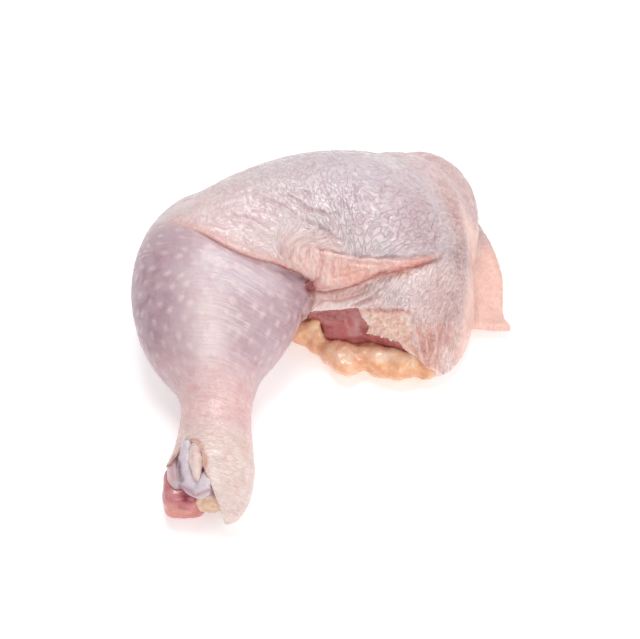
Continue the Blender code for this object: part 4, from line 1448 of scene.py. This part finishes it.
def skin_material():
    material, tree, shader = flesh_material("raw chicken skin", THIN_LIGHT)
    loose = shaken_place(tree, attribute(tree, "grain", "Vector"), 2.0, 0.6)
    dots = dots_socket(tree, attribute(tree, "unrolled", "Vector"))
    dots = times(tree, dots, attribute(tree, "dotted"))
    fine_net = wrinkle_lines(tree, stretched(tree, loose, NET_STRETCH), 1.0, 0.07)
    fine_net = times(tree, fine_net, attribute(tree, "netted"))
    lines = noise_socket(tree, stretched(tree, loose, FIBRE_STRETCH), 1.3, 3.0)
    where = attribute(tree, "striped")

    colour = spotted(tree, clouded_tint(tree), dots)
    colour = wrinkled(tree, colour, loose, fine_net)
    colour = striped(tree, colour, lines, where)

    lines = times(tree, lines, ramp(tree, where, 0.0, 1.0, 0.12, 0.35))
    height = calc(tree, "ADD", lines, placed(tree, BUMPY, {"Size": 0.5, "Height": 0.14}))
    height = calc(tree, "MULTIPLY_ADD", fine_net, -0.25, height)
    height = calc(tree, "MULTIPLY_ADD", dots, 0.12, height)
    coat = ramp(tree, attribute(tree, "drum"), 0.2, 0.8, 0.36, 0.14)
    dry = ramp(tree, attribute(tree, "creased"), 0.1, 0.6, 1.0, 0.0)
    finish = {
        "Base Color": colour,
        "Coat Weight": times(tree, coat, dry),
        "Normal": bump(tree, height, 0.9),
        "Roughness": placed(tree, WET, {"Low": 0.3, "High": 0.5, "Size": 2.2}),
    }
    feed(tree, shader, finish)
    return material


RAW_SKIN = skin_material()
print("nodes in the skin's material:", len(RAW_SKIN.node_tree.nodes))

# %% Grow the fine relief
grow(skin, WRINKLED_SKIN, {"Material": RAW_SKIN})
print("the skin's attributes:", ", ".join(layer.name for layer in skin.data.attributes))

# %% [markdown]
# ## Fewer triangles
# The wall that lies against the meat and the flat underside need no fine mesh. They are thinned
# out first, and then the whole skin a little, to keep it light.


# %% Thinning
MOST_TRIANGLES = 195_000
THINNED_AWAY = 0.96


def thinned(obj, ratio, group=None):
    """The object with this share of its triangles left, all taken from the group if given."""
    modifier = obj.modifiers.new("Thin", "DECIMATE")
    modifier.ratio = ratio
    if group is not None:
        picked = obj.vertex_groups.new(name="thin")
        for i in np.flatnonzero(group):
            picked.add([int(i)], 1.0, "REPLACE")
        modifier.vertex_group = "thin"
    return apply_modifiers(obj)


def set_down(obj):
    """The object with nothing below the table, shaded smooth."""
    points = points_of(obj.data)
    points[:, 2] = np.maximum(points[:, 2], 0.0)
    place_points(obj.data, points)
    obj.data.shade_smooth()
    return obj


def triangles(obj):
    return sum(len(face.vertices) - 2 for face in obj.data.polygons)


flat_down = (z < 0.6) & (normals[:, 2] < -0.7)
hidden = (outside < 0.15) & (rim < 0.1) | flat_down
print("hidden share", round(float(hidden.mean()), 2), "triangles", triangles(skin))
thinned(skin, 1 - THINNED_AWAY * float(hidden.mean()), hidden)
print("after the hidden side:", triangles(skin))
thinned(skin, min(1.0, MOST_TRIANGLES / triangles(skin)))
set_down(skin)
print("skin:", triangles(skin), "triangles")
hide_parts("skin")
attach(skin, "root")

# %% [markdown]
# ## The pieces under the skin
# The meat, the fat and the parts of the hock joint are made alike: a fine copy of the packed
# solid is smoothed, painted on the photograph's plane, and given its own small relief by one
# shared Geometry Nodes tree, in which lumps and grain can be stretched into fibres.


# %% The relief of flesh
FLESH_SIZES = {
    "Lump size": 4.0,
    "Lump height": 0.4,
    "Grain size": 1.0,
    "Grain height": 0.1,
    "Stretch": (1.0, 1.0, 1.0),
}


def lumpy_flesh():
    tree, given, result = relief_tree("Lumpy flesh", FLESH_SIZES)
    place = in_mm(tree, add_node(tree, "GeometryNodeInputPosition").outputs[0])
    place = stretched(tree, shaken_place(tree, place, 3.0, 0.5), given["Stretch"])
    lump_scale = calc(tree, "DIVIDE", 1.0, given["Lump size"])
    lumps = cells_socket(tree, place, lump_scale, 1.0, feature="SMOOTH_F1")
    lumps = ramp(tree, lumps, 0.75, 0.15)
    grain = noise_socket(tree, place, calc(tree, "DIVIDE", 1.0, given["Grain size"]), 3.0)
    grain = calc(tree, "SUBTRACT", grain, 0.5)
    height = times(tree, calc(tree, "SUBTRACT", lumps, 0.5), given["Lump height"])
    height = calc(tree, "MULTIPLY_ADD", grain, given["Grain height"], height)
    return raise_points(tree, given, result, height, "lump", lumps)


LUMPY_FLESH = lumpy_flesh()
print("nodes in the relief of flesh:", len(LUMPY_FLESH.nodes))

# %% Paints for flesh, fat and gristle
PAINTS |= {
    "meat": (204, 101, 95),
    "deep meat": (126, 52, 56),
    "membrane": (214, 165, 167),
    "fat": (240, 190, 148),
    "ripe fat": (226, 146, 94),
    "pale fat": (250, 224, 202),
    "golden": (255, 206, 160),
    "gristle": (224, 210, 216),
    "bluish": (190, 180, 198),
    "plum": (120, 70, 92),
    "sinew": (232, 214, 206),
    "stub pink": (208, 124, 128),
    "stub red": (140, 38, 62),
    "stub orange": (224, 140, 118),
    "grey cream": (204, 190, 178),
    "straw": (226, 190, 150),
}
print("paints:", len(PAINTS))

# %% [markdown]
# All the wet tissue shares one recipe: the painted colour, clouded with a second one, painted darker
# in the hollows between the lumps as shade, with light that goes a little way in. Each piece gives
# only its own numbers, so that they all look like parts of one body.

# %% Flesh material
FLESH_HOLLOW_SHADE = (0.82, 0.68, 0.62, 1)


def raw_flesh(name, other, low, high, grain, settings):
    """Wet tissue in the painted colour, clouded with a second one, with painted shade in its hollows.
    """
    material, tree, shader = flesh_material(name, settings)
    inputs = {"Color": attribute(tree, "tint", "Color"), "Other": rgba(other)}
    colour = placed(tree, CLOUDY, {**inputs, "Size": 2.5, "Amount": 0.35})
    # painted shade: the colour is multiplied darker in the hollows between the lumps
    shaded_colour = mixed(tree, 1.0, colour, FLESH_HOLLOW_SHADE, "MULTIPLY")
    hollow_shade = ramp(tree, attribute(tree, "lump"), 0.35, 0.0, 0.0, 0.7)
    finish = {
        "Base Color": mixed(tree, hollow_shade, colour, shaded_colour),
        "Normal": bump(tree, placed(tree, BUMPY, {"Size": grain, "Height": 0.15})),
        "Roughness": placed(tree, WET, {"Low": low, "High": high, "Size": 2.0}),
    }
    feed(tree, shader, finish)
    return material


def deep_light(weight, scale, coat=0.0):
    """How much of the light goes in, how far in metres, and how wet the surface is."""
    return {"Subsurface Weight": weight, "Subsurface Scale": scale, "Coat Weight": coat}


# %% [markdown]
# One function makes each piece from start to end. Only a window of the meat shows, so what is
# far from it is drawn in a little, which keeps it under the skin, and is made coarser.

# %% Making a piece
HIDDEN_INSET = 1.2
INSET_FADE = 4.0
FAR_THINNED_AWAY = 0.95


def drawn_in(piece, points, middle, reach):
    """The piece made smaller and coarser where it is further than this from its window."""
    gap = np.linalg.norm(points - drawn([middle])[0], axis=1)
    far = step(reach, reach + INSET_FADE, gap)
    inner = points_of(piece.data) - HIDDEN_INSET * far[:, None] * normals_of(piece.data)
    place_points(piece.data, inner)
    return thinned(piece, 1 - FAR_THINNED_AWAY * float((far > 0.5).mean()), far > 0.5)


def flesh_piece(node, voxel, rounds, paints, material, sizes, swell=0.0, pulls=(), window=None):
    """One piece: its fine mesh, its paint and its relief."""
    piece = remeshed(merged_copy("leg_" + node, node), voxel)
    points = Web(piece.data).smooth(points_of(piece.data), rounds)
    place_points(piece.data, points)
    points = pulled(points + swell * normals_of(piece.data), pulls)
    place_points(piece.data, points)
    keep(piece.data, "tint", paints(Canvas(points, normals_of(piece.data))))
    grow(piece, LUMPY_FLESH, {**sizes, "Material": material})
    if window is not None:
        drawn_in(piece, points, *window)
    set_down(piece)
    print(piece.name, triangles(piece), "triangles")
    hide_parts(node)
    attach(piece, "root")
    return piece


def patches(view, size, seed):
    return 0.5 + 0.5 * noise_of(view.points, size, seed)


# %% [markdown]
# ## Meat
# The red meat shows only at the cut, between the skin and the fat. Its fibres run across the window,
# so the relief is stretched along them. It is painted darkest where the skin hangs over it, as shade,
# and two thin membranes cross it. Where the skin hides it, it is drawn in and thinned out.

# %% Meat
def paint_meat(view):
    membranes = 0.9 * view.dab((12.4, -2.5), 1.2, 3.4) + 0.6 * view.line([(8.5, 0), (10.5, -5)], 0.5)
    return painted(ground(view.points, "meat"), [
        ("deep meat", 0.5 * patches(view, 5.0, 31.0)),
        # painted shade: a dark stroke where the skin hangs over the meat
        ("deep meat", 0.6 * view.line([(-6, 1), (12, 1.5), (15, -3)], 1.6)),
        ("membrane", membranes),
        ("membrane", 0.3 * patches(view, 1.5, 33.0)),
    ])


RAW_MEAT = raw_flesh("raw meat", "membrane", 0.22, 0.42, 0.7, deep_light(0.2, 0.002))
MEAT_SIZES = {
    "Lump size": 1.6,
    "Lump height": 0.25,
    "Grain size": 0.8,
    "Grain height": 0.2,
    "Stretch": (0.25, 1.0, 1.0),
}
MEAT_PULLS = [((-2.5, -5.0), (3.0, 3.5), (1.0, 0.0, -4.0))]
WINDOW = ((10, -14, 14), 26)
meat = flesh_piece(
    "meat", 0.62, 6, paint_meat, RAW_MEAT, MEAT_SIZES, pulls=MEAT_PULLS, window=WINDOW
)

# %% [markdown]
# ## Fat
# Soft yellow fat hangs out under the meat in a row of lobes, each made of smaller grains. It is glossy
# and lets light in, and painted shade makes its hollows darker and more orange than its tops.

# %% Fat
def paint_fat(view):
    under_side = view.line([(13, -14), (22, -18.5), (34, -19)], 1.8)
    return painted(ground(view.points, "fat"), [
        ("ripe fat", 0.9 * patches(view, 4.0, 41.0) ** 1.5),
        # the left lobe is painted golden and lighter, partly its own colour and partly painted light
        # that lifts it out of the drumstick's shadow
        ("golden", 1.4 * view.dab((-4, -3), 5, 3.4)),
        ("pale fat", 0.5 * view.dab((8, -13), 5, 3) + 0.7 * view.dab((21, -12), 7, 2.5)),
        ("ripe fat", 0.4 * view.dab((-8, -3), 2.5, 2.5) + 0.6 * under_side),
        ("stub pink", 0.35 * view.dab((7, -8), 6, 2.5)),
    ])


RAW_FAT = raw_flesh("raw fat", "pale fat", 0.16, 0.4, 0.6, deep_light(0.45, 0.003, 0.5))
FAT_SIZES = {"Lump size": 5.5, "Lump height": 1.0, "Grain size": 1.6, "Grain height": 0.35}
FAT_PULLS = [
    ((-1.5, -3.4), (3.4, 2.8), (1.2, 2.6, 3.0)),
    ((8.0, -8.0), (6.0, 1.6), (0.0, 0.6, 0.6)),
    ((9.2, -15.8), (4.0, 3.0), (0.0, -1.5, 1.5)),
    ((15.6, -18.2), (2.4, 2.4), (0.0, 1.3, -0.8)),
    ((26.0, -18.5), (5.0, 3.0), (0.0, -0.7, 1.0)),
]
fat = flesh_piece("fat", 0.4, 14, paint_fat, RAW_FAT, FAT_SIZES, swell=0.4, pulls=FAT_PULLS)

# %% [markdown]
# ## The hock joint
# Where the foot was cut off, the gristly end of the shin bone shines bluish white, with a purple
# groove beside its ridge. A sinew lies over it, a stub of dark flesh under it, and a flat
# ligament ties them to the skin.


# %% Paint on the hock joint
def paint_bone(view):
    return painted(ground(view.points, "gristle"), [
        ("bluish", 0.6 * patches(view, 3.0, 51.0)),
        ("plum", 0.95 * view.line([(-48.6, -48), (-47.8, -51.5), (-46.9, -55)], 0.9)),
        ("stub pink", 0.6 * view.line([(-50.2, -47.5), (-50.4, -54)], 0.9)),
        ("stub red", 0.6 * view.line([(-47.5, -56.5), (-42, -59.5), (-36.5, -57.5)], 0.8)),
    ])


def paint_sinew(view):
    return painted(ground(view.points, "sinew"), [("stub pink", 0.3 * patches(view, 2.0, 55.0))])


def paint_stub(view):
    spot = view.dab((-45.4, -61.0), 2.2, 1.7)
    return painted(ground(view.points, "stub pink"), [
        ("stub orange", 0.95 * view.dab((-47, -66), 7, 3.6)),
        ("membrane", 0.6 * view.dab((-50.5, -59), 3.0, 2.6)),
        ("stub red", 0.4 * view.dab((-46, -61.5), 4.0, 3.2)),
        ("stub red", spot + 0.6 * view.line([(-48, -63.6), (-45, -64.2)], 0.5)),
        ("stub red", 0.2 * patches(view, 2.4, 61.0)),
    ])


def paint_ligament(view):
    return painted(ground(view.points, "grey cream"), [
        ("straw", step(-59, -63, view.up)),
        ("stub pink", 0.3 * patches(view, 2.0, 65.0)),
    ])


# %% The pieces of the hock joint
GRISTLE = raw_flesh("gristle", "gristle", 0.3, 0.45, 0.8, deep_light(0.4, 0.0015, 0.2))
SINEW = raw_flesh("sinew", "sinew", 0.2, 0.35, 0.5, deep_light(0.2, 0.001))
STUB = raw_flesh("shank flesh", "stub pink", 0.2, 0.4, 0.6, deep_light(0.15, 0.001, 0.4))
HOCK_PIECES = {
    "shin_bone": ("cartilage", 0.34, 10, paint_bone, GRISTLE, {"Lump size": 3.0, "Lump height": 0.2}),
    "tendon": ("tendon", 0.25, 6, paint_sinew, SINEW, {"Lump size": 1.5, "Lump height": 0.15}),
    "shank_stub": ("shank_flesh", 0.34, 8, paint_stub, STUB, {"Lump size": 4.0, "Lump height": 0.3}),
    "ligament": ("ligament", 0.25, 6, paint_ligament, SINEW, {"Lump size": 1.6, "Lump height": 0.4}),
}
HOCK_SWELL = {"shin_bone": 0.6, "tendon": 0.3, "shank_stub": 0.4, "ligament": 0.6}
HOCK_PULLS = {
    "shin_bone": [
        ((-45.6, -43.0), (2.4, 2.0), (0.4, 1.6, 0.6)),
        ((-38.4, -60.0), (2.5, 2.5), (1.0, 2.0, 0.0)),
        ((-38.4, -53.0), (2.4, 3.6), (1.3, 0.0, 0.4)),
    ],
    "ligament": [((-39.0, -60.0), (3.0, 3.0), (-0.6, 1.6, 0.6))],
}
for node, (slot, *making) in HOCK_PIECES.items():
    piece = flesh_piece(node, *making, HOCK_SWELL[node], HOCK_PULLS.get(node, ()))
